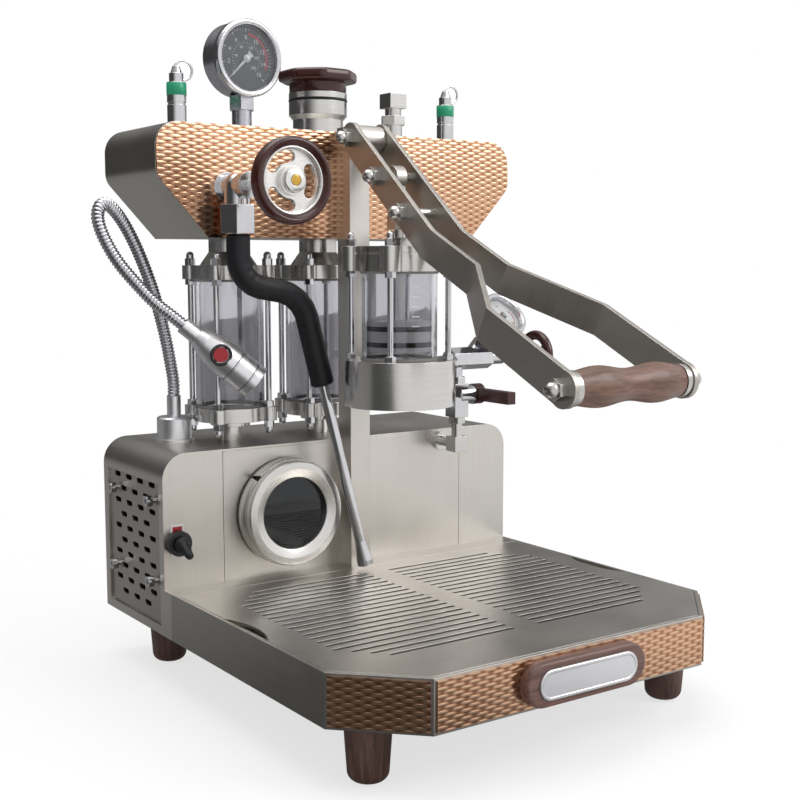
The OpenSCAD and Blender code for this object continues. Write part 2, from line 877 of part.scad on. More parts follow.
// Rubber boot with the switch lever in it
module toggle_boot() color("Black") translate([toggle_x, -toggle_pivot_y, toggle_z]) {
    tip_r = 3.2;
    sphere(r = toggle_ball_r);
    rotate([toggle_tilt, 0, 0]) forward() {
        cylinder(r1 = toggle_ball_r * 0.8, r2 = tip_r, h = toggle_len - tip_r);
        translate([0, 0, toggle_len - tip_r]) sphere(r = tip_r);
    }
}

// Foot of the lamp with its ferrule
module lamp_base() color("Silver") translate(lamp_place) difference() {
    bevel_h = 1.5;
    union() {
        cylinder(r = lamp_flange_r, h = lamp_flange_t);
        cylinder(r = lamp_foot_r, h = lamp_foot_h - bevel_h);
        translate([0, 0, lamp_foot_h - bevel_h - eps])
            cylinder(r1 = lamp_foot_r, r2 = lamp_foot_r - bevel_h, h = bevel_h + eps);
        cylinder(r = lamp_ferrule_r, h = lamp_foot_h + lamp_ferrule_h);
    }
    translate([0, 0, lamp_foot_h + lamp_ferrule_h - lamp_pin_len - free_gap])
        cylinder(r = lamp_pin_r + run_gap, h = cut_len);
}

// Points of a smooth curve through the gooseneck's bends
function curve_point(p, i, t) = let (
    last = len(p) - 1,
    a = p[max(i - 1, 0)],
    b = p[i],
    c = p[min(i + 1, last)],
    d = p[min(i + 2, last)]
) 0.5 * (2 * b + (c - a) * t + (2 * a - 5 * b + 4 * c - d) * t * t + (3 * b - a - 3 * c + d) * t * t * t);
function curve(p, n) = [
    for (i = [0:len(p) - 2], k = [0:n - 1]) curve_point(p, i, k / n), p[len(p) - 1]
];

// The same curve cut into steps of equal length
function step(p, i) = i + 1 < len(p) ? norm(p[i + 1] - p[i]) : 0;
function lengths(p) = [for (i = 0, s = 0; i < len(p); s = s + step(p, i), i = i + 1) s];
function along(p, s, d) = let (
    i = max([for (k = [0:len(s) - 2]) if (s[k] <= d + 1e-9) k]),
    t = (d - s[i]) / (s[i + 1] - s[i])
) p[i] + t * (p[i + 1] - p[i]);
function even(p, n) = let (s = lengths(p)) [for (i = [0:n]) along(p, s, s[len(s) - 1] * i / n * (1 - 1e-9))];

// A ring of points around a place on the curve, square to the curve's run
function ring_at(p, run, r) = let (
    u = unit(cross(run, [0, 1, 0])),
    v = cross(unit(run), u)
) [for (k = [0:goose_sides - 1]) p + r * (cos(360 * k / goose_sides) * u + sin(360 * k / goose_sides) * v)];
function run_at(p, i) = p[min(i + 1, len(p) - 1)] - p[max(i - 1, 0)];

// Two triangles between each pair of neighbouring points of two rings
function band(a, b) = [
    for (k = [0:goose_sides - 1]) let (m = (k + 1) % goose_sides)
        each [[a + k, b + m, a + m], [a + k, b + k, b + m]]
];
goose_path = even(curve(goose_bend, goose_steps), 2 * goose_ribs);
goose_rings = len(goose_path);

// Ribbed gooseneck with its bore, and the pin that turns in the lamp's foot
module gooseneck() color("LightGray") {
    outer = [for (i = [0:goose_rings - 1])
        each ring_at(goose_path[i], run_at(goose_path, i), goose_r - (i % 2) * goose_groove)];
    inner = [for (i = [0:goose_rings - 1])
        each ring_at(goose_path[i], run_at(goose_path, i), goose_bore_r)];
    shift = len(outer);
    last = (goose_rings - 1) * goose_sides;
    polyhedron(
        points = concat(outer, inner),
        faces = concat(
            [for (i = [0:goose_rings - 2]) each band(i * goose_sides, (i + 1) * goose_sides)],
            [for (i = [0:goose_rings - 2]) each band(shift + (i + 1) * goose_sides, shift + i * goose_sides)],
            band(shift, 0),
            band(last, shift + last)
        )
    );
    translate(goose_start - [0, 0, lamp_pin_len]) cylinder(r = lamp_pin_r, h = lamp_pin_len);
}

// Lamp head with its collar, grooves and open mouth
module lamp_head() color("Silver") translate(lamp_neck) aim(lamp_dir) difference() {
    taper = [[0, 0.5], [8, 0.72], [18, 0.89], [30, 0.98], [36, 1]];
    mouth_depth = 10;
    union() {
        translate([0, 0, -lamp_collar_len]) cylinder(r = lamp_collar_r, h = lamp_collar_len + 2);
        rotate_extrude() polygon(concat(
            [[0, 0]], [for (t = taper) [t[1] * lamp_head_r, t[0]]],
            [[lamp_head_r, lamp_head_len], [0, lamp_head_len]]
        ));
    }
    for (z = lamp_grooves) translate([0, 0, lamp_head_len - z]) groove(lamp_head_r, 1, 1.5);
    translate([0, 0, lamp_head_len - mouth_depth]) cylinder(r = lamp_head_r - 2, h = cut_len);
    translate([0, 0, rocker_at]) forward() {
        translate([0, 0, rocker_seat]) cylinder(r = rocker_r + 3 * free_gap, h = lamp_head_r);
        rocker_axle(rocker_axle_r + run_gap, rocker_axle_half + free_gap);
    }
}

// Axle across the lamp's head on which the rocker tips
module rocker_axle(r, half) translate([0, 0, rocker_axle_at]) rightward()
    cylinder(r = r, h = 2 * half, center = true);

// Round rocker of the lamp's switch
module lamp_rocker() color("Crimson") translate(lamp_neck) aim(lamp_dir) translate([0, 0, rocker_at])
    forward() {
        rocker_axle(rocker_axle_r, rocker_axle_half);
        translate([0, 0, rocker_axle_at]) rotate([rocker_tilt, 0, 0])
            translate([0, 0, free_gap - rocker_axle_r])
                cylinder(r = rocker_r, h = rocker_h);
    }

// Eared flanges of the glass columns, each with its neck
module column_flanges() color("LightSlateGray") for (p = column_places) translate(p) {
    neck_wall = 4;
    neck_step = 6;
    step_h = 5;
    flare = 8;
    difference() {
        union() {
            translate([0, 0, column_low_z]) eared(column_disc_r, column_rod_r, column_ear_r, flange_t);
            translate([0, 0, base_top]) cylinder(r = neck_r - neck_step, h = neck_low_h + 1);
            translate([0, 0, column_low_z - step_h]) cylinder(r = neck_r, h = step_h + 1);
        }
        translate([0, 0, base_top + neck_wall]) cylinder(r = neck_r - neck_step - neck_wall, h = cut_len);
    }
    difference() {
        union() {
            translate([0, 0, column_high_z]) eared(column_disc_r, column_rod_r, column_ear_r, flange_t);
            translate([0, 0, column_high_z + flange_t]) {
                cylinder(r1 = neck_r + flare, r2 = neck_r, h = neck_high_h / 2);
                cylinder(r = neck_r, h = neck_high_h);
            }
        }
        translate([0, 0, column_high_z - 1])
            cylinder(r = neck_r - neck_wall, h = flange_t + neck_high_h + 1 - neck_wall);
    }
}

// Glass tubes of the two columns
module column_glasses() color("LightCyan", 0.4) for (p = column_places)
    translate(p + [0, 0, column_low_z + flange_t + seal_t])
        tube(column_glass_r, column_glass_r - glass_t, column_high_z - column_low_z - flange_t - 2 * seal_t);

// One tie rod between two flanges, with nuts inside and domed nuts outside
module column_rod() {
    reach = column_high_z + flange_t - column_low_z;
    translate([0, 0, column_low_z - nut_h]) cylinder(r = rod_r, h = reach + 2 * nut_h);
    translate([0, 0, column_high_z + flange_t]) acorn(nut_af, acorn_h);
    translate([0, 0, column_low_z]) mirror([0, 0, 1]) acorn(nut_af, acorn_h);
    translate([0, 0, column_high_z - nut_h]) hex(nut_af, nut_h);
    translate([0, 0, column_low_z + flange_t]) hex(nut_af, nut_h);
}

// One tie rod from the group ring through the cap
module group_rod() {
    translate([0, 0, ring_top - rod_thread]) cylinder(r = rod_r, h = cap_top - ring_top + rod_thread + nut_h);
    translate([0, 0, cap_top]) acorn(nut_af, acorn_h);
    translate([0, 0, cap_z - nut_h]) hex(nut_af, nut_h);
    translate([0, 0, ring_top]) hex(nut_af, nut_h);
}

// All tie rods with their nuts
module tie_rods() color("Silver") {
    for (p = column_places) translate(p) corners(column_rod_r) column_rod();
    translate(group_place) corners(group_rod_r) group_rod();
}

// Flat seals at the ends of the glass tubes and under the porthole's window
module flange_seals() color("DarkSlateGray") {
    for (p = column_places, z = [column_low_z + flange_t, column_high_z - seal_t]) translate(p + [0, 0, z])
        tube(column_glass_r, column_glass_r - glass_t - 1, seal_t);
    for (z = [ring_top, cap_z - seal_t]) translate(group_place + [0, 0, z])
        tube(cylinder_r + 1, cylinder_bore_r + 0.5, seal_t);
    translate(porthole_place) forward() translate([0, 0, porthole_seal_y])
        tube(boiler_flange_r - 1, porthole_open_r, porthole_glass_y - porthole_seal_y);
}

// Square post with the barrel for the lever's pivot
module post() color("Silver") difference() {
    barrel_half = arm_gap / 2 - free_gap;
    union() {
        translate([-post_w / 2, -post_w, tray_top])
            cube([post_w, post_w, pivot_z + pivot_barrel_r - tray_top]);
        translate([-post_w / 2, -pivot_y, pivot_z - pivot_barrel_r])
            cube([post_w, pivot_y - post_w + 1, 2 * pivot_barrel_r]);
        translate([-barrel_half, -pivot_y, pivot_z]) rightward()
            cylinder(r = pivot_barrel_r, h = 2 * barrel_half);
    }
    translate([0, -pivot_y, pivot_z]) rightward()
        cylinder(r = arm_bolt_r + run_gap, h = cut_len, center = true);
}

// Welded tank, open at the front
module tank_shell() color("Silver") difference() {
    front_extrude(0, tank_depth) tank_outline(0);
    front_extrude(-1, tank_depth - sheet) tank_outline(sheet);
    translate([0, fitting_y, tank_top - 3 * sheet]) cylinder(r = filler_bore_r, h = 6 * sheet);
}

// Copper weave front of the tank
module tank_cladding() color("Peru") front_extrude(0, 2 * clad_t) tank_outline(sheet + seat_gap);

// Both safety valves with the holes for their pull stems
module safety_valves() color("Silver") for (x = valve_xs)
    translate([x, fitting_y, tank_top]) difference() {
        cylinder(r = relief_r, h = relief_h);
        translate([0, 0, relief_h / 2]) groove(relief_r, 0.8, 2);
        translate([0, 0, relief_h - pull_stem_len - 2]) cylinder(r = pull_stem_r + run_gap, h = cut_len);
    }

// Stem of a safety valve with its cap and pull ring
module safety_pull(x) {
    cone_h = 6;
    seat_z = relief_h + free_gap;
    cone_z = seat_z + pull_cap_h;
    translate([x, fitting_y, tank_top]) {
        translate([0, 0, relief_h - pull_stem_len]) cylinder(r = pull_stem_r, h = pull_stem_len + pull_cap_h);
        translate([0, 0, seat_z]) cylinder(r = pull_cap_r, h = pull_cap_h);
        translate([0, 0, cone_z - eps]) cylinder(r1 = pull_cap_r - 1, r2 = pull_stem_r, h = cone_h);
        translate([0.8 * pull_ring_r, 0, cone_z + cone_h / 2]) forward() rotate_extrude()
            translate([pull_ring_r, 0]) circle(pull_wire_r, $fn = 16);
    }
}
module safety_pull_left() color("Silver") safety_pull(valve_xs[0]);
module safety_pull_right() color("Silver") safety_pull(valve_xs[1]);

// Steel collar of the filler
module filler_neck() color("Silver") translate([0, fitting_y, tank_top]) difference() {
    low_r = filler_r - 3.5;
    low_h = 14;
    flare_h = 4;
    union() {
        cylinder(r = low_r, h = low_h);
        translate([0, 0, low_h - eps]) cylinder(r1 = low_r, r2 = filler_r, h = flare_h);
        translate([0, 0, low_h + flare_h - 2 * eps])
            cylinder(r = filler_r, h = filler_h - low_h - flare_h + 2 * eps);
    }
    translate([0, 0, -1]) cylinder(r = filler_bore_r, h = cut_len);
    translate([0, 0, filler_groove_z]) groove(filler_r, 1.2, 2.4);
}

// Brown cap with an eight-sided knob, turning on the collar
module filler_cap() color("Sienna") translate([0, fitting_y, tank_top + filler_h + free_gap]) {
    plug_len = 14;
    lid_h = 10;
    knob_h = 11;
    translate([0, 0, -plug_len]) cylinder(r = filler_bore_r - run_gap, h = plug_len + 1);
    cylinder(r = filler_r - 0.5, h = lid_h);
    translate([0, 0, lid_h - 1]) rotate([0, 0, 22.5]) cylinder(r = filler_knob_r, h = knob_h, $fn = 8);
}

// Plugged vent fitting with a square head
module vent_fitting() color("Silver") translate([vent_x, fitting_y, tank_top]) {
    lap = 1;
    stub_h = 15;
    collar_h = 7;
    throat_h = 8;
    head = [18, 18, 13.5];
    head_z = stub_h + collar_h + throat_h;
    cylinder(r = 8.5, h = stub_h + lap);
    translate([0, 0, stub_h]) hex(21, collar_h + lap);
    translate([0, 0, stub_h + collar_h]) cylinder(r = 7.5, h = throat_h + lap);
    translate([0, 0, head_z + head[2] / 2]) cube(head, center = true);
}

// A round gauge case built upwards from its back, with a pin for the needle
module gauge_case(r, depth) {
    difference() {
        cylinder(r = r, h = depth);
        translate([0, 0, depth - dial_depth]) cylinder(r = r - bezel_w, h = cut_len);
    }
    translate([0, 0, depth - dial_depth - eps]) cylinder(r = needle_pin_r, h = needle_pin_len);
}

// Places a gauge so that its face looks along the case's axis
module tank_gauge_place() translate(gauge_place) rotate([0, 0, gauge_turn])
    translate([0, gauge_depth - gauge_front, gauge_rise]) forward() children();
module group_gauge_place() translate(group_gauge_face) rotate([0, 0, group_gauge_turn])
    rotate([-group_gauge_tilt, 0, 0]) forward() translate([0, 0, -group_gauge_depth]) children();
function gauge_axis() = [
    sin(group_gauge_turn) * cos(group_gauge_tilt),
    -cos(group_gauge_turn) * cos(group_gauge_tilt),
    sin(group_gauge_tilt)
];
knuckle = group_gauge_face - (group_gauge_depth + gauge_neck) * gauge_axis();
branch_foot = [riser_x + branch_x, -riser_y, cross_z];
branch_dir = knuckle - branch_foot;
branch_len = 24;

// Both gauges with their stems
module gauge_cases() color("Silver") {
    tank_gauge_place() gauge_case(gauge_r, gauge_depth);
    stem_z = gauge_foot_h + gauge_nut_h;
    into_case = 4;
    translate(gauge_place) {
        cylinder(r = gauge_foot_r, h = gauge_foot_h + 1);
        translate([0, 0, gauge_foot_h]) hex(gauge_nut_af, gauge_nut_h + 1);
        translate([0, 0, stem_z]) cylinder(r = gauge_stem_r, h = gauge_rise - gauge_r - stem_z + into_case);
    }
    group_gauge_place() {
        gauge_case(group_gauge_r, group_gauge_depth);
        translate([0, 0, -gauge_neck]) cylinder(r = gauge_pipe_r, h = gauge_neck + 1);
    }
    translate(knuckle) sphere(r = gauge_pipe_r + 2);
    translate(branch_foot) aim(branch_dir) translate([0, 0, branch_len])
        cylinder(r = gauge_pipe_r, h = norm(branch_dir) - branch_len);
}

// A needle with a hub that turns on the case's pin
module needle(r, depth) {
    tail = 0.25 * r;
    tip = 0.7 * r;
    translate([0, 0, depth - dial_depth + needle_lift]) rotate([0, 0, needle_rest]) difference() {
        union() {
            cylinder(r = needle_hub_r, h = needle_t);
            translate([-needle_w / 2, -tail, 0]) cube([needle_w, tail + tip, needle_t]);
        }
        translate([0, 0, -1]) cylinder(r = needle_pin_r + run_gap, h = cut_len);
    }
}
module gauge_needle() color("White") tank_gauge_place() needle(gauge_r - bezel_w, gauge_depth);
module group_gauge_needle() color("Black") group_gauge_place()
    needle(group_gauge_r - bezel_w, group_gauge_depth);

// Windows of both gauges
module gauge_window(r, depth) {
    translate([0, 0, depth - glass_depth - gauge_glass_t])
        cylinder(r = r - bezel_w - seat_gap, h = gauge_glass_t);
}
module gauge_glasses() color("LightCyan", 0.4) {
    tank_gauge_place() gauge_window(gauge_r, gauge_depth);
    group_gauge_place() gauge_window(group_gauge_r, group_gauge_depth);
}

// Steam valve on the tank's front with the block that carries the wand
module steam_valve_body() color("Silver") {
    block_top = wand_block_z + wand_block_h;
    outlet_r = valve_r + 2;
    foot_t = 5;
    difference() {
        union() {
            translate(steam_place) forward() {
                cylinder(r = valve_r + 3, h = foot_t);
                cylinder(r = valve_r, h = valve_len);
                translate([0, 0, valve_len - eps]) cylinder(r = valve_r + 1.5, h = gland_len);
            }
            translate([steam_x, -steam_y, block_top - 1])
                cylinder(r = outlet_r, h = steam_z - block_top + 1);
            translate([steam_x, -steam_y, steam_z]) sphere(r = outlet_r);
            translate([steam_x, -steam_y, wand_block_z]) hex(wand_block_af, wand_block_h);
        }
        translate(steam_place) forward() translate([0, 0, valve_len - gland_len])
            cylinder(r = spindle_r + run_gap, h = cut_len);
        translate([steam_x, -steam_y, wand_block_z - 1])
            cylinder(r = wand_r + run_gap, h = wand_socket + 3);
    }
}

// Spindle with the spoked wheel disc and its nut
module steam_spindle() color("Silver") translate(steam_place) forward() {
    disc_r = wheel_r - wheel_rim;
    disc_t = 4;
    spindle_start = valve_len - gland_len + 2;
    disc_start = wheel_y - disc_t;
    hub_start = disc_start - disc_t;
    translate([0, 0, spindle_start]) cylinder(r = spindle_r, h = wheel_y - spindle_start);
    translate([0, 0, hub_start]) cylinder(r = hub_r, h = hub_len);
    translate([0, 0, hub_start + hub_len - eps]) hex(wheel_nut_af, wheel_nut_h);
    difference() {
        translate([0, 0, disc_start]) cylinder(r = disc_r, h = disc_t);
        for (a = [0:120:240]) rotate([0, 0, a]) wheel_opening(disc_r);
    }
}

// A kidney-shaped opening between two spokes
module wheel_opening(disc_r) {
    inner = hub_r + 2.4;
    outer = disc_r - 2.2;
    half_angle = 28;
    end_r = (outer - inner) / 2 - 0.2;
    for (s = [-1, 1]) rotate([0, 0, s * half_angle])
        translate([(inner + outer) / 2, 0, wheel_y - cut_len / 2]) cylinder(r = end_r, h = cut_len);
    translate([0, 0, wheel_y - cut_len / 2]) rotate([0, 0, -half_angle])
        rotate_extrude(angle = 2 * half_angle)
            translate([inner, 0]) square([outer - inner, cut_len]);
}

// Brown rim around the wheel disc
module steam_wheel_rim() color("Sienna") translate(steam_place) forward() {
    section_r = 2.5;
    half_t = 6;
    inner = wheel_r - wheel_rim + seat_gap;
    translate([0, 0, wheel_y + 2]) rotate_extrude() {
        translate([inner, -half_t]) square([wheel_rim - section_r, 2 * half_t]);
        translate([wheel_r - section_r - eps, -half_t + section_r])
            square([section_r, 2 * (half_t - section_r)]);
        for (s = [-1, 1]) translate([wheel_r - section_r, s * (half_t - section_r)]) circle(section_r);
    }
}

// The wand's bent run: down from the valve, across, and down to the tray.
// The bends are a hair thinner than the straights, which reach a little way into them.
module wand_shape(r, top, end) {
    bend_r = r - 2 * eps;
    lap = 5 * eps;
    heading = wand_turn1 - 90;
    fall = heading - wand_turn2;
    p1 = [wand_bend_r1 * (1 - cos(wand_turn1)), wand_bend_z - wand_bend_r1 * sin(wand_turn1)];
    p2 = p1 + wand_run * [cos(heading), sin(heading)];
    c2 = p2 + wand_bend_r2 * [sin(heading), -cos(heading)];
    p3 = c2 + wand_bend_r2 * [-sin(fall), cos(fall)];
    translate([0, 0, wand_bend_z - lap]) cylinder(r = r, h = top - wand_bend_z + lap);
    translate([wand_bend_r1, 0, wand_bend_z]) rotate([90, 0, 0]) rotate([0, 0, 180])
        rotate_extrude(angle = wand_turn1) translate([wand_bend_r1, 0]) circle(bend_r);
    translate([p1[0], 0, p1[1]]) rotate([0, 90 - heading, 0]) translate([0, 0, -lap])
        cylinder(r = r, h = wand_run + 2 * lap);
    translate([c2[0], 0, c2[1]]) rotate([90, 0, 0]) rotate([0, 0, fall + 90])
        rotate_extrude(angle = wand_turn2) translate([wand_bend_r2, 0]) circle(bend_r);
    translate([p3[0], 0, p3[1]]) rotate([0, 90 - fall, 0]) {
        translate([0, 0, -lap]) cylinder(r = r, h = end + lap);
        children();
    }
}
function wand_low_z() = let (
    heading = wand_turn1 - 90,
    fall = heading - wand_turn2
) wand_bend_z - wand_bend_r1 * sin(wand_turn1) + wand_run * sin(heading)
    - wand_bend_r2 * cos(heading) + wand_bend_r2 * cos(fall);
wand_fall = 90 - wand_turn1 + wand_turn2;
wand_end = (wand_low_z() - tray_top - wand_tip_gap) / sin(wand_fall) - wand_tip_r / tan(wand_fall);
module wand_place() translate([steam_x, -steam_y, 0]) rotate([0, 0, -wand_turn]) children();

// Steel wand with its flared tip
module wand_tube() color("Silver") wand_place() {
    tip_rim = 4;
    wand_shape(wand_r, wand_block_z + wand_socket, wand_end - 1) {
        translate([0, 0, wand_end - wand_tip_len])
            cylinder(r1 = wand_r, r2 = wand_tip_r, h = wand_tip_len - tip_rim);
        translate([0, 0, wand_end - tip_rim - eps]) cylinder(r = wand_tip_r, h = tip_rim + eps);
    }
}

// Rubber sleeve over the wand's bends
module wand_sleeve() color("Black") wand_place() difference() {
    wand_shape(sleeve_r, wand_block_z - free_gap, sleeve_end);
    wand_shape(wand_r + seat_gap, wand_block_z + wand_socket, sleeve_end + 1);
}

// Eared cap of the group with the gland for the piston rod
module group_cap() color("LightSlateGray") translate(group_place) difference() {
    union() {
        translate([0, 0, cap_z]) eared(cap_disc_r, group_rod_r, cap_ear_r, cap_h);
        translate([0, 0, cap_top - eps]) hex(gland_af, gland_h);
    }
    translate([0, 0, cap_z - 1]) cylinder(r = piston_rod_r + run_gap, h = cut_len);
    translate([0, 0, cap_z + cap_h * 0.7]) groove(cap_disc_r, 0.8, 1);
}

// Glass cylinder in which the piston runs
module group_cylinder() color("LightCyan", 0.4) translate(group_place + [0, 0, ring_top + seal_t])
    tube(cylinder_r, cylinder_bore_r, cylinder_h - 2 * seal_t);

// Heavy ring with the socket for the filter holder and the lug on the post
module group_ring() color("LightSlateGray") {
    lug_w = post_w - 4;
    lug_step = 6;
    inlet_aim = [riser_x, group_y - riser_y, 0];
    difference() {
        union() {
            translate(group_place + [0, 0, ring_z]) cylinder(r = ring_r, h = ring_h);
            translate([-lug_w / 2, -group_y, ring_z + lug_step])
                cube([lug_w, group_y - post_w, ring_h - 2 * lug_step]);
        }
        translate(group_place + [0, 0, ring_z - 1]) cylinder(r = socket_r, h = socket_h + 1);
        translate(group_place + [0, 0, ring_z]) {
            cylinder(r = screen_r + seat_gap, h = socket_h + screen_t);
            cylinder(r = screen_hub_r, h = socket_h + screen_t + screen_hub_h);
        }
        for (a = [0:60:300]) translate(group_place + [0, 0, ring_z]) rotate([0, 0, a])
            translate([passage_at, 0, 0]) cylinder(r = passage_r, h = 2 * ring_h);
        translate(group_place + [0, 0, ring_top - rod_thread - eps]) corners(group_rod_r)
            cylinder(r = rod_r + seat_gap, h = cut_len);
        translate(group_place + [0, 0, cross_z]) aim(inlet_aim) translate([0, 0, ring_r - ring_hole_depth])
            cylinder(r = pipe_r + seat_gap, h = cut_len);
    }
}

// Shower screen in the roof of the socket, held by its hub
module shower_screen() color("Silver") translate(group_place + [0, 0, ring_z + socket_h]) {
    key_af = 6;
    hole_r = 1.5;
    difference() {
        union() {
            cylinder(r = screen_r, h = screen_t);
            cylinder(r = screen_hub_r - seat_gap, h = screen_t + screen_hub_h);
        }
        translate([0, 0, -1]) hex(key_af, 5);
        for (r = [10, 17, 24], i = [0:7]) rotate([0, 0, i * 45 + r * 3]) translate([r, 0, -1])
            cylinder(r = hole_r, h = screen_t + 2, $fn = 16);
    }
}

// Piston with grooves for its seals
module piston() color("WhiteSmoke") translate(group_place + [0, 0, piston_z]) difference() {
    cylinder(r = cylinder_bore_r - free_gap, h = piston_h);
    for (z = piston_seal_places) translate([0, 0, z - seat_gap])
        tube(cylinder_r, cylinder_bore_r - piston_seal_depth - seat_gap, piston_seal_h + 2 * seat_gap);
    translate([0, 0, piston_h - rod_seat]) cylinder(r = piston_rod_r + seat_gap, h = cut_len);
}

// Two seals that run on the glass
module piston_seals() color("Black") translate(group_place + [0, 0, piston_z])
    for (z = piston_seal_places) translate([0, 0, z])
        tube(cylinder_bore_r - run_gap, cylinder_bore_r - piston_seal_depth, piston_seal_h);

// Piston rod with the clevis and pin for the link
module piston_rod() color("Silver") translate(group_place) {
    rod_foot = piston_z + piston_h - rod_seat;
    cheek_w = 2 * link_foot_r;
    base_z = link_pin_z - clevis_h;
    translate([0, 0, rod_foot]) cylinder(r = piston_rod_r, h = base_z - rod_foot + 1);
    half = link_w / 2 + free_gap;
    translate([-half - cheek_t, -cheek_w / 2, base_z])
        cube([2 * (half + cheek_t), cheek_w, clevis_h - link_foot_r - 1]);
    for (s = [-1, 1]) translate([s * (half + cheek_t / 2), 0, 0]) {
        translate([0, 0, (base_z + link_pin_z) / 2])
            cube([cheek_t, cheek_w, link_pin_z - base_z], center = true);
        translate([0, 0, link_pin_z]) rightward() cylinder(r = link_foot_r, h = cheek_t, center = true);
    }
    translate([-half - cheek_t - 1, 0, link_pin_z]) rightward()
        cylinder(r = link_pin_r, h = 2 * (half + cheek_t + 1));
}

// Link from the piston rod's pin to the lever's link bolt
module lever_link() color("DimGray") translate([0, -group_y, link_pin_z]) rotate([-link_tilt, 0, 0]) {
    difference() {
        union() {
            rightward() cylinder(r = link_foot_r, h = link_w, center = true);
            translate([0, 0, link_len / 2]) cube([link_w, 2 * link_foot_r, link_len], center = true);
            translate([0, 0, link_len]) rightward() cylinder(r = link_eye_r, h = link_w, center = true);
        }
        rightward() cylinder(r = link_pin_r + run_gap, h = cut_len, center = true);
        translate([0, 0, link_len]) rightward()
            cylinder(r = arm_bolt_r + link_slack, h = cut_len, center = true);
    }
}

// Side view of an arm: two straight runs with round ends and a round bend
module arm_side() {
    for (p = [on_arm(0), arm_bend, handle_at]) translate([-p[1], p[2]]) circle(arm_eye_r);
    translate([pivot_y, pivot_z]) rotate(-arm_drop_high)
        translate([0, -arm_w / 2]) square([arm_bend_at, arm_w]);
    translate([-arm_bend[1], arm_bend[2]]) rotate(-arm_drop_low)
        translate([0, -arm_w / 2]) square([arm_reach, arm_w]);
}

// Plan of an arm along its lower run: straight, splayed, straight
module arm_plan() {
    near = arm_gap / 2;
    far = handle_gap / 2;
    start = -2 * arm_bend_at;
    end = arm_reach + arm_w;
    mitre = arm_t * tan(atan2(far - near, splay_to - splay_from) / 2);
    polygon([
        [start, near], [splay_from, near], [splay_to, far], [end, far], [end, far + arm_t],
        [splay_to - mitre, far + arm_t], [splay_from - mitre, near + arm_t], [start, near + arm_t]
    ]);
}

// The right arm with its bolt holes
module arm() difference() {
    intersection() {
        side_extrude(0, cut_len) arm_side();
        translate(arm_bend) rotate([arm_drop_low, 0, 0]) rotate([0, 0, -90])
            linear_extrude(4 * arm_bend_at, center = true) arm_plan();
    }
    for (p = [on_arm(0), link_bolt, front_bolt, handle_at]) translate(p) rightward()
        cylinder(r = arm_bolt_r + seat_gap, h = cut_len);
}

// Two flat arms, mirror images of each other
module lever_arms() color("DimGray") {
    arm();
    mirror([1, 0, 0]) arm();
}

// A bolt across the arms with a domed nut on each side
module arm_bolt(half) {
    translate([-half, 0, 0]) rightward() cylinder(r = arm_bolt_r, h = 2 * half);
    for (s = [0, 1]) mirror([s, 0, 0]) translate([half, 0, 0]) rightward()
        acorn(bolt_nut_af, bolt_nut_h);
}

// Bolts, the handle's rod and its end rings
module lever_bolts() color("Silver") {
    for (p = [on_arm(0), link_bolt, front_bolt]) translate(p) arm_bolt(arm_outer);
    translate(handle_at) {
        arm_bolt(handle_outer);
        for (s = [0, 1]) mirror([s, 0, 0]) translate([handle_gap / 2 - ferrule_t, 0, 0]) rightward()
            tube(handle_r * 0.85, arm_bolt_r - eps, ferrule_t);
    }
}

// Wooden handle: two swells and a waist
function handle_swell(u) = let (swell = pow(sin(180 * abs(u) / 1.1), 2))
    handle_r * (handle_waist + (1 - handle_waist) * swell);
module handle_grip() color("Sienna") translate(handle_at - [handle_half, 0, 0]) rightward() {
    steps = 24;
    difference() {
        rotate_extrude() polygon(concat(
            [[0, 0]],
            [for (i = [0:steps]) [handle_swell(2 * i / steps - 1), 2 * handle_half * i / steps]],
            [[0, 2 * handle_half]]
        ));
        translate([0, 0, -1]) cylinder(r = arm_bolt_r + run_gap, h = 2 * handle_half + 2);
    }
}

// Elbow from the front panel with the riser to the ball valve
module supply_pipe() color("Silver") {
    translate(riser_place + [0, 0, elbow_z]) cube(elbow_size, center = true);
    translate([riser_x, 6 * sheet, elbow_z]) forward() cylinder(r = pipe_r, h = riser_y + 6 * sheet);
    translate([riser_x, 0, elbow_z]) forward() cylinder(r = pipe_r + 4, h = 3);
    translate(riser_place + [0, 0, elbow_z]) cylinder(r = pipe_r, h = ball_z - elbow_z);
    translate(riser_place + [0, 0, ball_z - pipe_nut_h]) hex(pipe_nut_af, pipe_nut_h);
}

// Body of the ball valve with the boss for its stem
module ball_valve_body() color("Silver") translate(riser_place) difference() {
    union() {
        translate([-ball_w / 2, -ball_w / 2, ball_z]) cube([ball_w, ball_w, ball_h]);
        translate([0, 0, stem_z]) rightward() cylinder(r = stem_r, h = ball_w / 2 + stem_len);
    }
    translate([0, 0, stem_z]) rightward() cylinder(r = ball_stem_r + run_gap, h = cut_len);
}

// Brown lever of the ball valve, pointing to the front
module ball_valve_handle() color("Sienna")
translate(riser_place + [ball_w / 2 + stem_len + free_gap, 0, stem_z]) {
    hub_w = 10;
    lever_h = 11;
    translate([-stem_len - 1, 0, 0]) rightward() cylinder(r = ball_stem_r, h = stem_len + 3);
    rightward() cylinder(r = stem_r + 0.5, h = hub_w);
    translate([0.5, -lever_len, -lever_h / 2]) cube([hub_w - 1, lever_len, lever_h]);
}

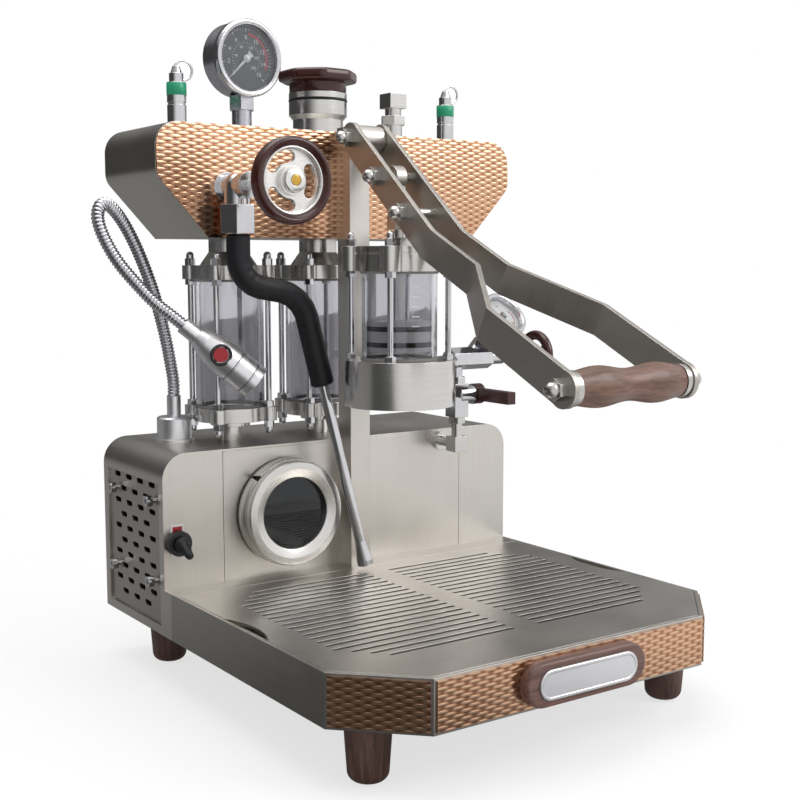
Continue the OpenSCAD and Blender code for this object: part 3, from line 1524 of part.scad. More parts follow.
// Cross that joins the riser, the group ring, the gauge and the water valve
module cross_fitting() color("Silver") {
    to_group = [riser_x, group_y - riser_y, 0];
    reach = norm(to_group) - ring_r + ring_hole_depth - 2;
    right_end = riser_x - cross_left + cross_len;
    difference() {
        union() {
            translate([riser_x - cross_left, -riser_y, cross_z]) rightward() hex(cross_af, cross_len);
            translate(riser_place + [0, 0, ball_z + ball_h]) {
                cylinder(r = pipe_r, h = cross_z - ball_z - ball_h);
                hex(pipe_nut_af, pipe_nut_h);
            }
            translate([riser_x, -riser_y, cross_z]) aim(-to_group) cylinder(r = pipe_r, h = reach);
            translate(branch_foot) aim(branch_dir) cylinder(r = gauge_pipe_r + 2, h = branch_len);
            translate([right_end - 1, -riser_y, cross_z]) rightward()
                cylinder(r = water_bonnet_r, h = water_bonnet_len + 1);
        }
        translate([right_end, -riser_y, cross_z]) rightward()
            cylinder(r = water_spindle_r + run_gap, h = cut_len);
    }
}

// Spoked water handwheel on its spindle
module water_wheel() color("Sienna") {
    start = riser_x - cross_left + cross_len + 4;
    mid_r = water_wheel_r - water_rim_r;
    wheel_hub_r = 7;
    wheel_hub_h = 9;
    spoke = [mid_r, 5, 3];
    translate([start, -riser_y, cross_z]) rightward()
        cylinder(r = water_spindle_r, h = water_wheel_x - start);
    translate([water_wheel_x, -riser_y, cross_z]) rightward() {
        cylinder(r = wheel_hub_r, h = wheel_hub_h, center = true);
        rotate_extrude() translate([mid_r, 0]) circle(water_rim_r);
        for (a = [0:120:240]) rotate([0, 0, a]) translate([mid_r / 2, 0, 0]) cube(spoke, center = true);
    }
}

module placed() translate(machine_place) children();

placed() chassis();
placed() base_housing();
placed() front_panel();
placed() vent_plates();
placed() vent_screws();
placed() mains_inlet();
placed() tray_body();
placed() drip_grate();
placed() tray_cladding();
placed() badge_plaque();
placed() feet();
placed() boiler_vessel();
placed() heating_element();
placed() porthole_clamp();
placed() porthole_ring();
placed() porthole_glass();
placed() toggle_body();
placed() toggle_boot();
placed() lamp_base();
placed() gooseneck();
placed() lamp_head();
placed() lamp_rocker();
placed() column_flanges();
placed() column_glasses();
placed() tie_rods();
placed() flange_seals();
placed() post();
placed() tank_shell();
placed() tank_cladding();
placed() safety_valves();
placed() safety_pull_left();
placed() safety_pull_right();
placed() filler_neck();
placed() filler_cap();
placed() vent_fitting();
placed() gauge_cases();
placed() gauge_needle();
placed() group_gauge_needle();
placed() gauge_glasses();
placed() steam_valve_body();
placed() steam_spindle();
placed() steam_wheel_rim();
placed() wand_tube();
placed() wand_sleeve();
placed() group_cap();
placed() group_cylinder();
placed() group_ring();
placed() shower_screen();
placed() piston();
placed() piston_seals();
placed() piston_rod();
placed() lever_link();
placed() lever_arms();
placed() lever_bolts();
placed() handle_grip();
placed() supply_pipe();
placed() ball_valve_body();
placed() ball_valve_handle();
placed() cross_fitting();
placed() water_wheel();
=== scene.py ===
"""Looks of the lever espresso machine: finishes for its solids, and the trim that they leave out."""
import logging
import math
from dataclasses import dataclass
from enum import Enum
from typing import Any, Callable, Dict, List, Optional, Sequence, Tuple

import bmesh
import bpy
from mathutils import Matrix, Vector


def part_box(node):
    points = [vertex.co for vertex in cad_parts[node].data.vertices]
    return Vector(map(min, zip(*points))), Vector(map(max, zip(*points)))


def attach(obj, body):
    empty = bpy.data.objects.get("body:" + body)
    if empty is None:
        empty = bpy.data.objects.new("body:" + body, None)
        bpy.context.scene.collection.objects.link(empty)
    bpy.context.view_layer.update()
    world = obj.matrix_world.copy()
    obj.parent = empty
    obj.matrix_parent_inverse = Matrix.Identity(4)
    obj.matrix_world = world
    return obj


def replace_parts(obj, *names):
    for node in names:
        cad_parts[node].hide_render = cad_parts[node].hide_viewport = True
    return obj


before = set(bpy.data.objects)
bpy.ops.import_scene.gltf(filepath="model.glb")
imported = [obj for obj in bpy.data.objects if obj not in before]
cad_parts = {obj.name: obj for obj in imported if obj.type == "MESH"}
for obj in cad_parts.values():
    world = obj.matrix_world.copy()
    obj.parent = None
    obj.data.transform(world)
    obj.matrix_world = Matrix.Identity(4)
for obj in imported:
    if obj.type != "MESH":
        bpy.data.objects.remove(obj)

LOG = logging.getLogger("espresso")
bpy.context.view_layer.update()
MM = 0.001
BEVEL_SAMPLES = 4
WHITE = (1.0, 1.0, 1.0, 1.0)

Hex = str
Loop = List[Vector]
Mesh = bmesh.types.BMesh
Point = Tuple[float, float, float]
Profile = List[Tuple[float, float]]
Span = Tuple[float, float]
Tree = bpy.types.NodeTree


def datum() -> Vector:
    """Finds the middle of the machine in the plane of its front panel, on the table.

    Returns:
        The point from which all sizes below are taken, in metres.
    """
    low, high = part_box("front_panel")
    return Vector(((low.x + high.x) / 2, low.y, 0.0))


DATUM = datum()


def spot(x: float, y: float, z: float) -> Vector:
    """Turns millimetres from the datum into a place in the frame.

    Args:
        x: Millimetres to the right.
        y: Millimetres behind the front panel.
        z: Millimetres above the table.

    Returns:
        The place in metres.
    """
    return DATUM + MM * Vector((x, y, z))


def linear(code: Hex) -> Tuple[float, float, float, float]:
    """Turns an sRGB hex colour into linear light.

    Args:
        code: Six hex digits after a hash.

    Returns:
        Red, green, blue and an alpha of one.
    """
    parts = [int(code[i:i + 2], 16) / 255 for i in (1, 3, 5)]
    bent = [c / 12.92 if c <= 0.04045 else ((c + 0.055) / 1.055) ** 2.4 for c in parts]
    return (bent[0], bent[1], bent[2], 1.0)


def add(
    tree: Tree, kind: str, links: Optional[Dict[Any, Any]] = None, **settings: Any
) -> bpy.types.Node:
    """Adds a node with its settings and links.

    Args:
        tree: The tree that gets the node.
        kind: Blender's name of the node's type.
        links: For each input, by name or number, the output that feeds it or a fixed value.
        settings: The node's own properties.

    Returns:
        The new node.
    """
    node = tree.nodes.new(kind)
    for name, value in settings.items():
        setattr(node, name, value)
    for key, value in (links or {}).items():
        if isinstance(value, bpy.types.NodeSocket):
            tree.links.new(value, node.inputs[key])
        else:
            node.inputs[key].default_value = value
    return node


class Axis(Enum):
    """Direction in which a brush mark or a grain runs."""

    ACROSS = 0
    DEEP = 1
    UP = 2

    def marks(self, length: float, width: float) -> Point:
        """Gives the size of a mark along x, y and z in millimetres.

        Args:
            length: Size along this direction.
            width: Size along the other two.

        Returns:
            Three sizes.
        """
        sizes = [width, width, width]
        sizes[self.value] = length
        return (sizes[0], sizes[1], sizes[2])


@dataclass(frozen=True)
class Finish:
    """A named surface that any number of pieces share."""

    name: str

    def material(self) -> bpy.types.Material:
        """Gives the finish's material, made the first time that it is asked for.

        Returns:
            The shared material.
        """
        found = bpy.data.materials.get(self.name)
        if found:
            return found
        made = bpy.data.materials.new(self.name)
        made.use_nodes = True
        made.node_tree.nodes.clear()
        shader = self.shade(made.node_tree)
        add(made.node_tree, "ShaderNodeOutputMaterial", {"Surface": shader.outputs[0]})
        return made

    def shade(self, tree: Tree) -> bpy.types.Node:
        """Builds the shader in an empty tree.

        Args:
            tree: The material's tree.

        Returns:
            The last shader node.
        """
        raise NotImplementedError

    def streaks(self, tree: Tree, size_mm: Sequence[float], detail: float = 3.0) -> bpy.types.NodeSocket:
        """Adds noise whose spots have a real size along each direction.

        Args:
            tree: The material's tree.
            size_mm: Size of a spot along x, y and z.
            detail: Number of finer layers.

        Returns:
            A value around one half.
        """
        place = add(tree, "ShaderNodeTexCoord").outputs["Object"]
        scale = [1 / (MM * size) for size in size_mm]
        mapped = add(tree, "ShaderNodeMapping", {"Vector": place, "Scale": scale}).outputs[0]
        links = {"Vector": mapped, "Scale": 1.0, "Detail": detail, "Roughness": 0.6}
        return add(tree, "ShaderNodeTexNoise", links).outputs[0]


@dataclass(frozen=True)
class Metal(Finish):
    """A metal with fine marks from how it was worked, and edges that handling has polished."""

    colour: Hex
    dark: Hex
    marks_mm: Point
    roughness: Span
    depth_mm: float = 0.003
    edge_mm: float = 0.6
    edge: Hex = "#E4E1DC"
    cloud_mm: float = 70.0
    worn_share: float = 0.6
    tone_span: Span = (0.6, 1.4)
    gloss_span: Span = (0.7, 1.3)
    edge_span: Span = (0.99, 0.85)

    def shade(self, tree: Tree) -> bpy.types.Node:
        """Builds streaked colour and gloss, with paler and rounded edges.

        Args:
            tree: The material's tree.

        Returns:
            The last shader node.
        """
        marks = self.streaks(tree, self.marks_mm)
        cloud = self.streaks(tree, (self.cloud_mm,) * 3, 2.0)
        both = add(tree, "ShaderNodeMath", {0: marks, 1: cloud}, operation="ADD").outputs[0]
        tone_range = {"Value": both, "From Min": self.tone_span[0], "From Max": self.tone_span[1]}
        tone = add(tree, "ShaderNodeMapRange", tone_range).outputs[0]
        shades = {0: tone, 6: linear(self.dark), 7: linear(self.colour)}
        base = add(tree, "ShaderNodeMix", shades, data_type="RGBA").outputs[2]
        radius = {"Radius": self.edge_mm * MM}
        rounded = add(tree, "ShaderNodeBevel", radius, samples=BEVEL_SAMPLES).outputs[0]
        flat = add(tree, "ShaderNodeNewGeometry").outputs["Normal"]
        normals = {0: rounded, 1: flat}
        along = add(tree, "ShaderNodeVectorMath", normals, operation="DOT_PRODUCT").outputs["Value"]
        wear_range = {
            "Value": along, "From Min": self.edge_span[0], "From Max": self.edge_span[1],
            "To Max": self.worn_share,
        }
        wear = add(tree, "ShaderNodeMapRange", wear_range).outputs[0]
        tones = {0: wear, 6: base, 7: linear(self.edge)}
        worn = add(tree, "ShaderNodeMix", tones, data_type="RGBA").outputs[2]
        gloss_range = {
            "Value": both, "From Min": self.gloss_span[0], "From Max": self.gloss_span[1],
            "To Min": self.roughness[0], "To Max": self.roughness[1],
        }
        gloss = add(tree, "ShaderNodeMapRange", gloss_range).outputs[0]
        bump_links = {"Height": marks, "Normal": rounded, "Distance": self.depth_mm * MM, "Strength": 1.0}
        bump = add(tree, "ShaderNodeBump", bump_links).outputs[0]
        links = {"Base Color": worn, "Metallic": 1.0, "Roughness": gloss, "Normal": bump}
        return add(tree, "ShaderNodeBsdfPrincipled", links)


@dataclass(frozen=True)
class Moulded(Finish):
    """A plastic, rubber or paint with a soft mottle and a fine skin."""

    colour: Hex
    dark: Hex
    mottle_mm: float
    roughness: Span
    ior: float = 1.5
    coat: float = 0.0
    skin_mm: float = 0.02
    grain_mm: float = 0.6
    edge_mm: float = 0.5
    coat_roughness: float = 0.12

    def shade(self, tree: Tree) -> bpy.types.Node:
        """Builds mottled colour, uneven gloss and a pebbled skin.

        Args:
            tree: The material's tree.

        Returns:
            The last shader node.
        """
        mottle = self.streaks(tree, (self.mottle_mm,) * 3)
        grain = self.streaks(tree, (self.grain_mm,) * 3, 1.0)
        shades = {0: mottle, 6: linear(self.dark), 7: linear(self.colour)}
        base = add(tree, "ShaderNodeMix", shades, data_type="RGBA").outputs[2]
        gloss_range = {"Value": mottle, "To Min": self.roughness[0], "To Max": self.roughness[1]}
        gloss = add(tree, "ShaderNodeMapRange", gloss_range).outputs[0]
        radius = {"Radius": self.edge_mm * MM}
        rounded = add(tree, "ShaderNodeBevel", radius, samples=BEVEL_SAMPLES).outputs[0]
        bump_links = {"Height": grain, "Normal": rounded, "Distance": self.skin_mm * MM, "Strength": 1.0}
        bump = add(tree, "ShaderNodeBump", bump_links).outputs[0]
        links = {
            "Base Color": base, "Roughness": gloss, "IOR": self.ior, "Normal": bump,
            "Coat Weight": self.coat, "Coat Roughness": self.coat_roughness,
        }
        return add(tree, "ShaderNodeBsdfPrincipled", links)


@dataclass(frozen=True)
class Wood(Finish):
    """Turned or sawn hardwood under a thin oil finish."""

    colour: Hex
    dark: Hex
    along: Axis
    ring_mm: float = 3.2
    ring_run_mm: float = 60.0
    ring_span: Span = (0.35, 0.65)
    pore: Hex = "#2A1712"
    pore_mm: float = 0.45
    pore_run_mm: float = 9.0
    pore_depth_mm: float = 0.06
    pore_share: float = 0.7
    pore_span: Span = (0.62, 0.72)
    roughness: Span = (0.38, 0.55)
    edge_mm: float = 1.0
    ior: float = 1.5
    coat: float = 0.25
    coat_roughness: float = 0.25

    def shade(self, tree: Tree) -> bpy.types.Node:
        """Builds growth rings that wander along the grain, and open pores.

        Args:
            tree: The material's tree.

        Returns:
            The last shader node.
        """
        ring = self.streaks(tree, self.along.marks(self.ring_run_mm, self.ring_mm), 4.0)
        pore = self.streaks(tree, self.along.marks(self.pore_run_mm, self.pore_mm), 2.0)
        ring_range = {"Value": ring, "From Min": self.ring_span[0], "From Max": self.ring_span[1]}
        ring_tone = add(tree, "ShaderNodeMapRange", ring_range).outputs[0]
        shades = {0: ring_tone, 6: linear(self.dark), 7: linear(self.colour)}
        base = add(tree, "ShaderNodeMix", shades, data_type="RGBA").outputs[2]
        pore_range = {
            "Value": pore, "From Min": self.pore_span[0], "From Max": self.pore_span[1],
            "To Max": self.pore_share,
        }
        pore_tone = add(tree, "ShaderNodeMapRange", pore_range).outputs[0]
        tones = {0: pore_tone, 6: base, 7: linear(self.pore)}
        grained = add(tree, "ShaderNodeMix", tones, data_type="RGBA").outputs[2]
        gloss_range = {"Value": ring, "To Min": self.roughness[0], "To Max": self.roughness[1]}
        gloss = add(tree, "ShaderNodeMapRange", gloss_range).outputs[0]
        radius = {"Radius": self.edge_mm * MM}
        rounded = add(tree, "ShaderNodeBevel", radius, samples=BEVEL_SAMPLES).outputs[0]
        bump_links = {
            "Height": pore_tone, "Normal": rounded, "Distance": self.pore_depth_mm * MM, "Strength": 1.0,
        }
        bump = add(tree, "ShaderNodeBump", bump_links, invert=True).outputs[0]
        links = {
            "Base Color": grained, "Roughness": gloss, "IOR": self.ior, "Normal": bump,
            "Coat Weight": self.coat, "Coat Roughness": self.coat_roughness,
        }
        return add(tree, "ShaderNodeBsdfPrincipled", links)


@dataclass(frozen=True)
class Clear(Finish):
    """Clear glass or acrylic with faint smears on its faces."""

    tint: Hex
    ior: float
    smear: float = 0.05
    smear_mm: Point = (18.0, 18.0, 40.0)
    smear_span: Span = (0.45, 0.75)

    def shade(self, tree: Tree) -> bpy.types.Node:
        """Builds a transparent body whose gloss changes a little where it was touched.

        Args:
            tree: The material's tree.

        Returns:
            The last shader node.
        """
        smear = self.streaks(tree, self.smear_mm)
        gloss_range = {
            "Value": smear, "From Min": self.smear_span[0], "From Max": self.smear_span[1],
            "To Max": self.smear,
        }
        gloss = add(tree, "ShaderNodeMapRange", gloss_range).outputs[0]
        links = {
            "Base Color": linear(self.tint), "Roughness": gloss, "IOR": self.ior,
            "Transmission Weight": 1.0,
        }
        return add(tree, "ShaderNodeBsdfPrincipled", links)


@dataclass(frozen=True)
class Weave(Finish):
    """Embossed copper sheet, with painted shade: raised strips in bright copper, painted brown in the
    hollows between them.
    """

    bright: Hex
    # Colour painted in the hollows, as painted shade.
    hollow_shade: Hex
    cloud_mm: float = 30.0
    cloud_share: float = 0.35
    speck_mm: Point = (1.5, 1.5, 0.7)
    speck_depth_mm: float = 0.06
    tone_span: Span = (0.0, 0.6)
    roughness: Span = (0.13, 0.26)

    def shade(self, tree: Tree) -> bpy.types.Node:
        """Builds copper painted darker where the sheet's own relief is low, as painted shade in its hollows.

        Args:
            tree: The material's tree.

        Returns:
            The last shader node.
        """
        relief = add(tree, "ShaderNodeAttribute", attribute_name="relief").outputs["Fac"]
        cloud = self.streaks(tree, (self.cloud_mm,) * 3)
        speck = self.streaks(tree, self.speck_mm, 2.0)
        shift = add(tree, "ShaderNodeMath", {0: cloud, 1: -0.5}, operation="ADD").outputs[0]
        mixed = {0: shift, 1: self.cloud_share, 2: relief}
        level = add(tree, "ShaderNodeMath", mixed, operation="MULTIPLY_ADD").outputs[0]
        tone_range = {"Value": level, "From Min": self.tone_span[0], "From Max": self.tone_span[1]}
        tone = add(tree, "ShaderNodeMapRange", tone_range).outputs[0]
        # Painted shade: the colour runs from bright on the crowns to dark brown in the hollows, with a
        # random cloud mixed in.
        shades = {0: tone, 6: linear(self.hollow_shade), 7: linear(self.bright)}
        base = add(tree, "ShaderNodeMix", shades, data_type="RGBA").outputs[2]
        gloss_range = {"Value": speck, "To Min": self.roughness[0], "To Max": self.roughness[1]}
        gloss = add(tree, "ShaderNodeMapRange", gloss_range).outputs[0]
        bump_links = {"Height": speck, "Distance": self.speck_depth_mm * MM, "Strength": 1.0}
        bump = add(tree, "ShaderNodeBump", bump_links).outputs[0]
        links = {"Base Color": base, "Metallic": 1.0, "Roughness": gloss, "Normal": bump}
        return add(tree, "ShaderNodeBsdfPrincipled", links)


# Stainless sheet, brushed with a 180 grit belt: streaks run one way, so light spreads across them.
# The real marks are 0.1 mm apart and would not show, so they are drawn several times coarser.
BRUSH_MM = (120.0, 0.5)
SHEET_UP = Metal(
    "stainless_brushed_upright", "#D6D2CC", "#C4BFB9", Axis.UP.marks(*BRUSH_MM), (0.28, 0.40)
)
SHEET_ACROSS = Metal(
    "stainless_brushed_across", "#C4C0BA", "#AEA9A3", Axis.ACROSS.marks(*BRUSH_MM), (0.26, 0.38)
)
SHEET_DEEP = Metal(
    "stainless_brushed_deep", "#C0BCB7", "#A9A59F", Axis.DEEP.marks(*BRUSH_MM), (0.28, 0.42)
)
# Stainless bar turned on a lathe: fine rings round the axis, smoother than sheet.
TURNED_UP = Metal("stainless_turned_upright", "#D6D4D2", "#C2C0BD", (40, 40, 0.5), (0.16, 0.26))
TURNED_DEEP = Metal(
    "stainless_turned_forward", "#DDDCDA", "#CDCBC8", (40, 0.5, 40), (0.22, 0.32), depth_mm=0.0008
)
TURNED_ACROSS = Metal("stainless_turned_across", "#C9C7C4", "#B3B0AC", (0.5, 40, 40), (0.18, 0.28))
# Flat steel bar, ground and left dull: brown grey, with bright sheared edges.
LEVER_STEEL = Metal(
    "steel_bar_ground", "#C0BBB5", "#A8A39C", (0.8, 60, 30), (0.34, 0.46), edge_mm=1.0, edge="#DAD6CF"
)
# Chrome plate on brass or steel: nearly a mirror, cool in tone.
CHROME = Metal("chrome_plated", "#D6D6D8", "#C4C4C8", (12, 12, 12), (0.06, 0.14), depth_mm=0.004)
# Aluminium casting, machined on the wheel's face: pale and satin.
CAST_ALUMINIUM = Metal(
    "aluminium_cast_faced", "#EAE9E7", "#DAD8D6", (3, 3, 3), (0.20, 0.30), depth_mm=0.01
)
# Aluminium lamp body under satin silver lacquer: soft wide highlights.
LAMP_SILVER = Metal(
    "aluminium_lamp_satin", "#EDEDEF", "#DEDEE2", (2, 2, 2), (0.30, 0.40), depth_mm=0.004
)
# Steel strip wound into the lamp's neck: bright turns with dark seams between them.
NECK_STEEL = Metal(
    "steel_strip_wound", "#DADADE", "#BDBDC3", (6, 6, 6), (0.14, 0.22), edge_mm=0.2, edge="#E6E6EA"
)
# Pressed steel gauge case under grey lacquer: satin, darker than the bezel.
CASE_STEEL = Metal("steel_case_lacquered", "#C2C0C8", "#A9A7AF", (5, 5, 5), (0.20, 0.30))
# Aluminium plate, satin brushed: the palest of the flat metals.
PLATE_ALUMINIUM = Metal(
    "aluminium_plate_brushed", "#E8E8EA", "#D8D8DC", Axis.ACROSS.marks(60, 0.5), (0.30, 0.42)
)
# Brass nut left raw: yellow and a little dull.
BRASS = Metal("brass_machined", "#D8B25A", "#B8903C", (1, 1, 1), (0.2, 0.34))
# Steel tube of the heater under scale: dark and rough.
HEATER = Metal("heater_sheath_scaled", "#6A6560", "#4A4642", (4, 4, 4), (0.4, 0.6))

# Copper sheet rolled to look woven: every strip catches its own highlight, and the hollows between strips
# are painted darker brown as painted shade.
COPPER = Weave("copper_sheet_embossed", "#DBB293", "#8E5636")

# Walnut, turned or sawn and oiled: purple brown with dark pores.
WALNUT_UP = Wood("walnut_turned_feet", "#614339", "#3F2820", Axis.UP)
WALNUT_ACROSS = Wood("walnut_oiled_plaque", "#75544A", "#50352E", Axis.ACROSS)
# A lighter hardwood, turned and oiled: red brown, with closer rings.
HANDLE_WOOD = Wood("hardwood_turned_handle", "#7C5A4B", "#54382B", Axis.ACROSS, ring_mm=2.4)

# Phenolic resin, pressed: dark red brown, glossy, with a faint filler mottle.
PHENOLIC = Moulded(
    "phenolic_resin_pressed", "#43170F", "#2A0D08", 2.5, (0.20, 0.28), ior=1.5, coat=0.1
)
# Silicone rubber, moulded: near black with a soft bloom.
RUBBER = Moulded(
    "silicone_rubber_moulded", "#1B1C20", "#121317", 6.0, (0.42, 0.58), ior=1.41, skin_mm=0.03
)
# Cut ring of clear silicone: a grey line between glass and flange.
SEAL_RING = Moulded("silicone_ring_cut", "#8E8C8A", "#7C7A78", 5.0, (0.40, 0.55), ior=1.41)
# ABS, moulded with a fine spark texture: even colour and a broken highlight.
BLACK_PLASTIC = Moulded("abs_moulded_black", "#1C1C1E", "#141416", 4.0, (0.30, 0.42), ior=1.54)
RED_PLASTIC = Moulded("abs_moulded_red", "#A60A1C", "#860816", 3.0, (0.30, 0.40), ior=1.54)
# Acetal bar, machined: off white with a waxy sheen.
WHITE_PLASTIC = Moulded("acetal_machined_white", "#DCDDDD", "#C8CACB", 5.0, (0.28, 0.40), ior=1.48)
# Vinyl tape round the safety valves: strong green with a soft shine.
GREEN_TAPE = Moulded("vinyl_tape_green", "#1FA276", "#158560", 5.0, (0.32, 0.45), ior=1.53)
# Enamel on the gauge dials: flat and even.
DIAL_DARK = Moulded("enamel_dial_slate", "#565C62", "#474D53", 9.0, (0.45, 0.6), skin_mm=0.004)
DIAL_PALE = Moulded("enamel_dial_white", "#ECECEA", "#DEDEDC", 9.0, (0.45, 0.6), skin_mm=0.004)
# Ink printed on the dials and the glass: matt, with a very thin grain.
PRINT_WHITE = Moulded("ink_printed_white", "#E8EAEA", "#D4D8D8", 3.0, (0.5, 0.6), skin_mm=0.002)
PRINT_BLACK = Moulded("ink_printed_black", "#202224", "#151617", 3.0, (0.5, 0.6), skin_mm=0.002)
PRINT_RED = Moulded("ink_printed_red", "#C4495E", "#B03A50", 3.0, (0.5, 0.6), skin_mm=0.002)
# Dark lining inside the boiler: nearly black, with an uneven wet gloss.
LINING = Moulded("boiler_lining_dark", "#17191C", "#0E1012", 12.0, (0.25, 0.5))

# Cast acrylic tube, polished: clear, with a grey cast through its thickness.
ACRYLIC = Clear("acrylic_tube_cast", "#D8D8DC", 1.49, smear=0.08)
# Tempered glass of the porthole, thick and blue grey.
PORTHOLE_GLASS = Clear("glass_tempered_thick", "#44566A", 1.52, smear=0.03)
# Thin window glass of the gauges: clear and clean.
GAUGE_GLASS = Clear("glass_gauge_window", "#FBFCFC", 1.5, smear=0.02)
# Moulded acrylic lens of the lamp: clear, with a faint haze.
LENS = Clear("acrylic_lamp_lens", "#F4F6F8", 1.49, smear=0.15)


def circle(centre: Vector, u: Vector, v: Vector, r: float, count: int) -> Loop:
    """Gives evenly spaced points on a circle.

    Args:
        centre: Middle of the circle.
        u: First direction in its plane.
        v: Second direction in its plane.
        r: Radius in metres.
        count: Number of points.

    Returns:
        The points.
    """
    turns = [2 * math.pi * i / count for i in range(count)]
    return [centre + r * (math.cos(a) * u + math.sin(a) * v) for a in turns]


def loft(loops: Sequence[Loop], ends: bool = True) -> Mesh:
    """Joins closed loops of points into one skin.

    Args:
        loops: Loops with equal numbers of points.
        ends: Whether the first and last loops are closed with a face.

    Returns:
        The mesh under construction.
    """
    bm = bmesh.new()
    rings = [[bm.verts.new(point) for point in loop] for loop in loops]
    for a, b in zip(rings, rings[1:]):
        for i in range(len(a)):
            k = (i + 1) % len(a)
            bm.faces.new((a[i], a[k], b[k], b[i]))
    if ends:
        bm.faces.new(list(reversed(rings[0])))
        bm.faces.new(rings[-1])
    bmesh.ops.recalc_face_normals(bm, faces=bm.faces)
    return bm


def lathe(place: Matrix, profile: Sequence[Span], count: int = 64, ends: bool = True) -> Mesh:
    """Turns a profile round the z axis of a place.

    Args:
        place: Frame of the turned piece, in metres.
        profile: Radius and height of each step in millimetres.
        count: Points round the axis.
        ends: Whether the ends are closed.

    Returns:
        The mesh under construction.
    """
    x, y = Vector((1, 0, 0)), Vector((0, 1, 0))
    loops = [circle(Vector((0, 0, h * MM)), x, y, r * MM, count) for r, h in profile]
    bm = loft(loops, ends)
    bm.transform(place)
    return bm


def ring_profile(r: float, height: float, wire: float, steps: int = 12) -> Profile:
    """Gives the section of a round ring as a closed profile.

    Args:
        r: Radius to the middle of the wire.
        height: Height of the ring's plane.
        wire: Radius of the wire.
        steps: Points round the wire.

    Returns:
        Radius and height of each point, the first one repeated.
    """
    turns = [2 * math.pi * i / steps for i in range(steps + 1)]
    return [(r + wire * math.cos(a), height + wire * math.sin(a)) for a in turns]


def sweep(path: Sequence[Vector], radii: Sequence[float], count: int) -> Mesh:
    """Draws a round tube along a path.

    Args:
        path: Points in metres.
        radii: Radius at each point in metres.
        count: Points round the tube.

    Returns:
        The mesh under construction.
    """
    loops: List[Loop] = []
    side = Vector((0, 1, 0))
    for i, point in enumerate(path):
        run = (path[min(i + 1, len(path) - 1)] - path[max(i - 1, 0)]).normalized()
        side = (side - run * side.dot(run)).normalized()
        loops.append(circle(point, side, run.cross(side), radii[i], count))
    return loft(loops)


def smooth_path(points: Sequence[Vector], steps: int) -> List[Vector]:
    """Draws a smooth curve through points.

    Args:
        points: Points that the curve passes.
        steps: Steps between two points.

    Returns:
        Points along the curve.
    """
    out: List[Vector] = []
    last = len(points) - 1
    for i in range(last):
        a, b = points[max(i - 1, 0)], points[i]
        c, d = points[i + 1], points[min(i + 2, last)]
        for k in range(steps):
            t = k / steps
            bend = (2 * a - 5 * b + 4 * c - d) * t * t + (3 * b - a - 3 * c + d) * t ** 3
            out.append(0.5 * (2 * b + (c - a) * t + bend))
    return out + [points[last].copy()]


def even_path(points: Sequence[Vector], count: int) -> List[Vector]:
    """Cuts a curve into steps of equal length.

    Args:
        points: Points along the curve.
        count: Number of steps.

    Returns:
        The new points, ends included.
    """
    lengths = [0.0]
    for a, b in zip(points, points[1:]):
        lengths.append(lengths[-1] + (b - a).length)
    out, k = [], 0
    for i in range(count + 1):
        want = lengths[-1] * i / count
        while k < len(points) - 2 and lengths[k + 1] < want:
            k += 1
        share = (want - lengths[k]) / (lengths[k + 1] - lengths[k])
        out.append(points[k].lerp(points[k + 1], share))
    return out


def stadium(w: float, h: float, steps: int = 16) -> Profile:
    """Gives the outline of a plate with half-round ends.

    Args:
        w: Whole width.
        h: Whole height.
        steps: Steps on each end.

    Returns:
        Points across and up from the middle.
    """
    r, run = h / 2, (w - h) / 2
    out = []
    for side in (0, 1):
        for i in range(steps + 1):
            a = math.pi * (side + i / steps) - math.pi / 2
            out.append(((run if side == 0 else -run) + r * math.cos(a), r * math.sin(a)))
    return out


def piece(
    name: str, bm: Mesh, finish: Finish, body: str, sharp: float = 35
) -> bpy.types.Object:
    """Finishes a mesh and lets it ride on a body.

    Args:
        name: Name of the piece.
        bm: Mesh under construction, which is used up.
        finish: Its surface.
        body: Body that carries it.
        sharp: Angle in degrees above which an edge stays sharp.

    Returns:
        The new object.
    """
    mesh = bpy.data.meshes.new(name)
    for face in bm.faces:
        face.smooth = True
    bm.to_mesh(mesh)
    bm.free()
    mesh.set_sharp_from_angle(angle=math.radians(sharp))
    made = bpy.data.objects.new(name, mesh)
    bpy.context.scene.collection.objects.link(made)
    mesh.materials.append(finish.material())
    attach(made, body)
    LOG.info("piece %s rides on %s", name, body)
    return made


def turn(axis: str, degrees: float) -> Matrix:
    """Gives a turn about x, y or z."""
    return Matrix.Rotation(math.radians(degrees), 4, axis)


def frame_at(place: Vector, *turns: Matrix) -> Matrix:
    """Gives the frame at a place after some turns.

    Args:
        place: Where the frame stands, in metres.
        turns: The turns or other steps, the first one outermost.

    Returns:
        The frame.
    """
    out = Matrix.Translation(place)
    for step in turns:
        out = out @ step
    return out


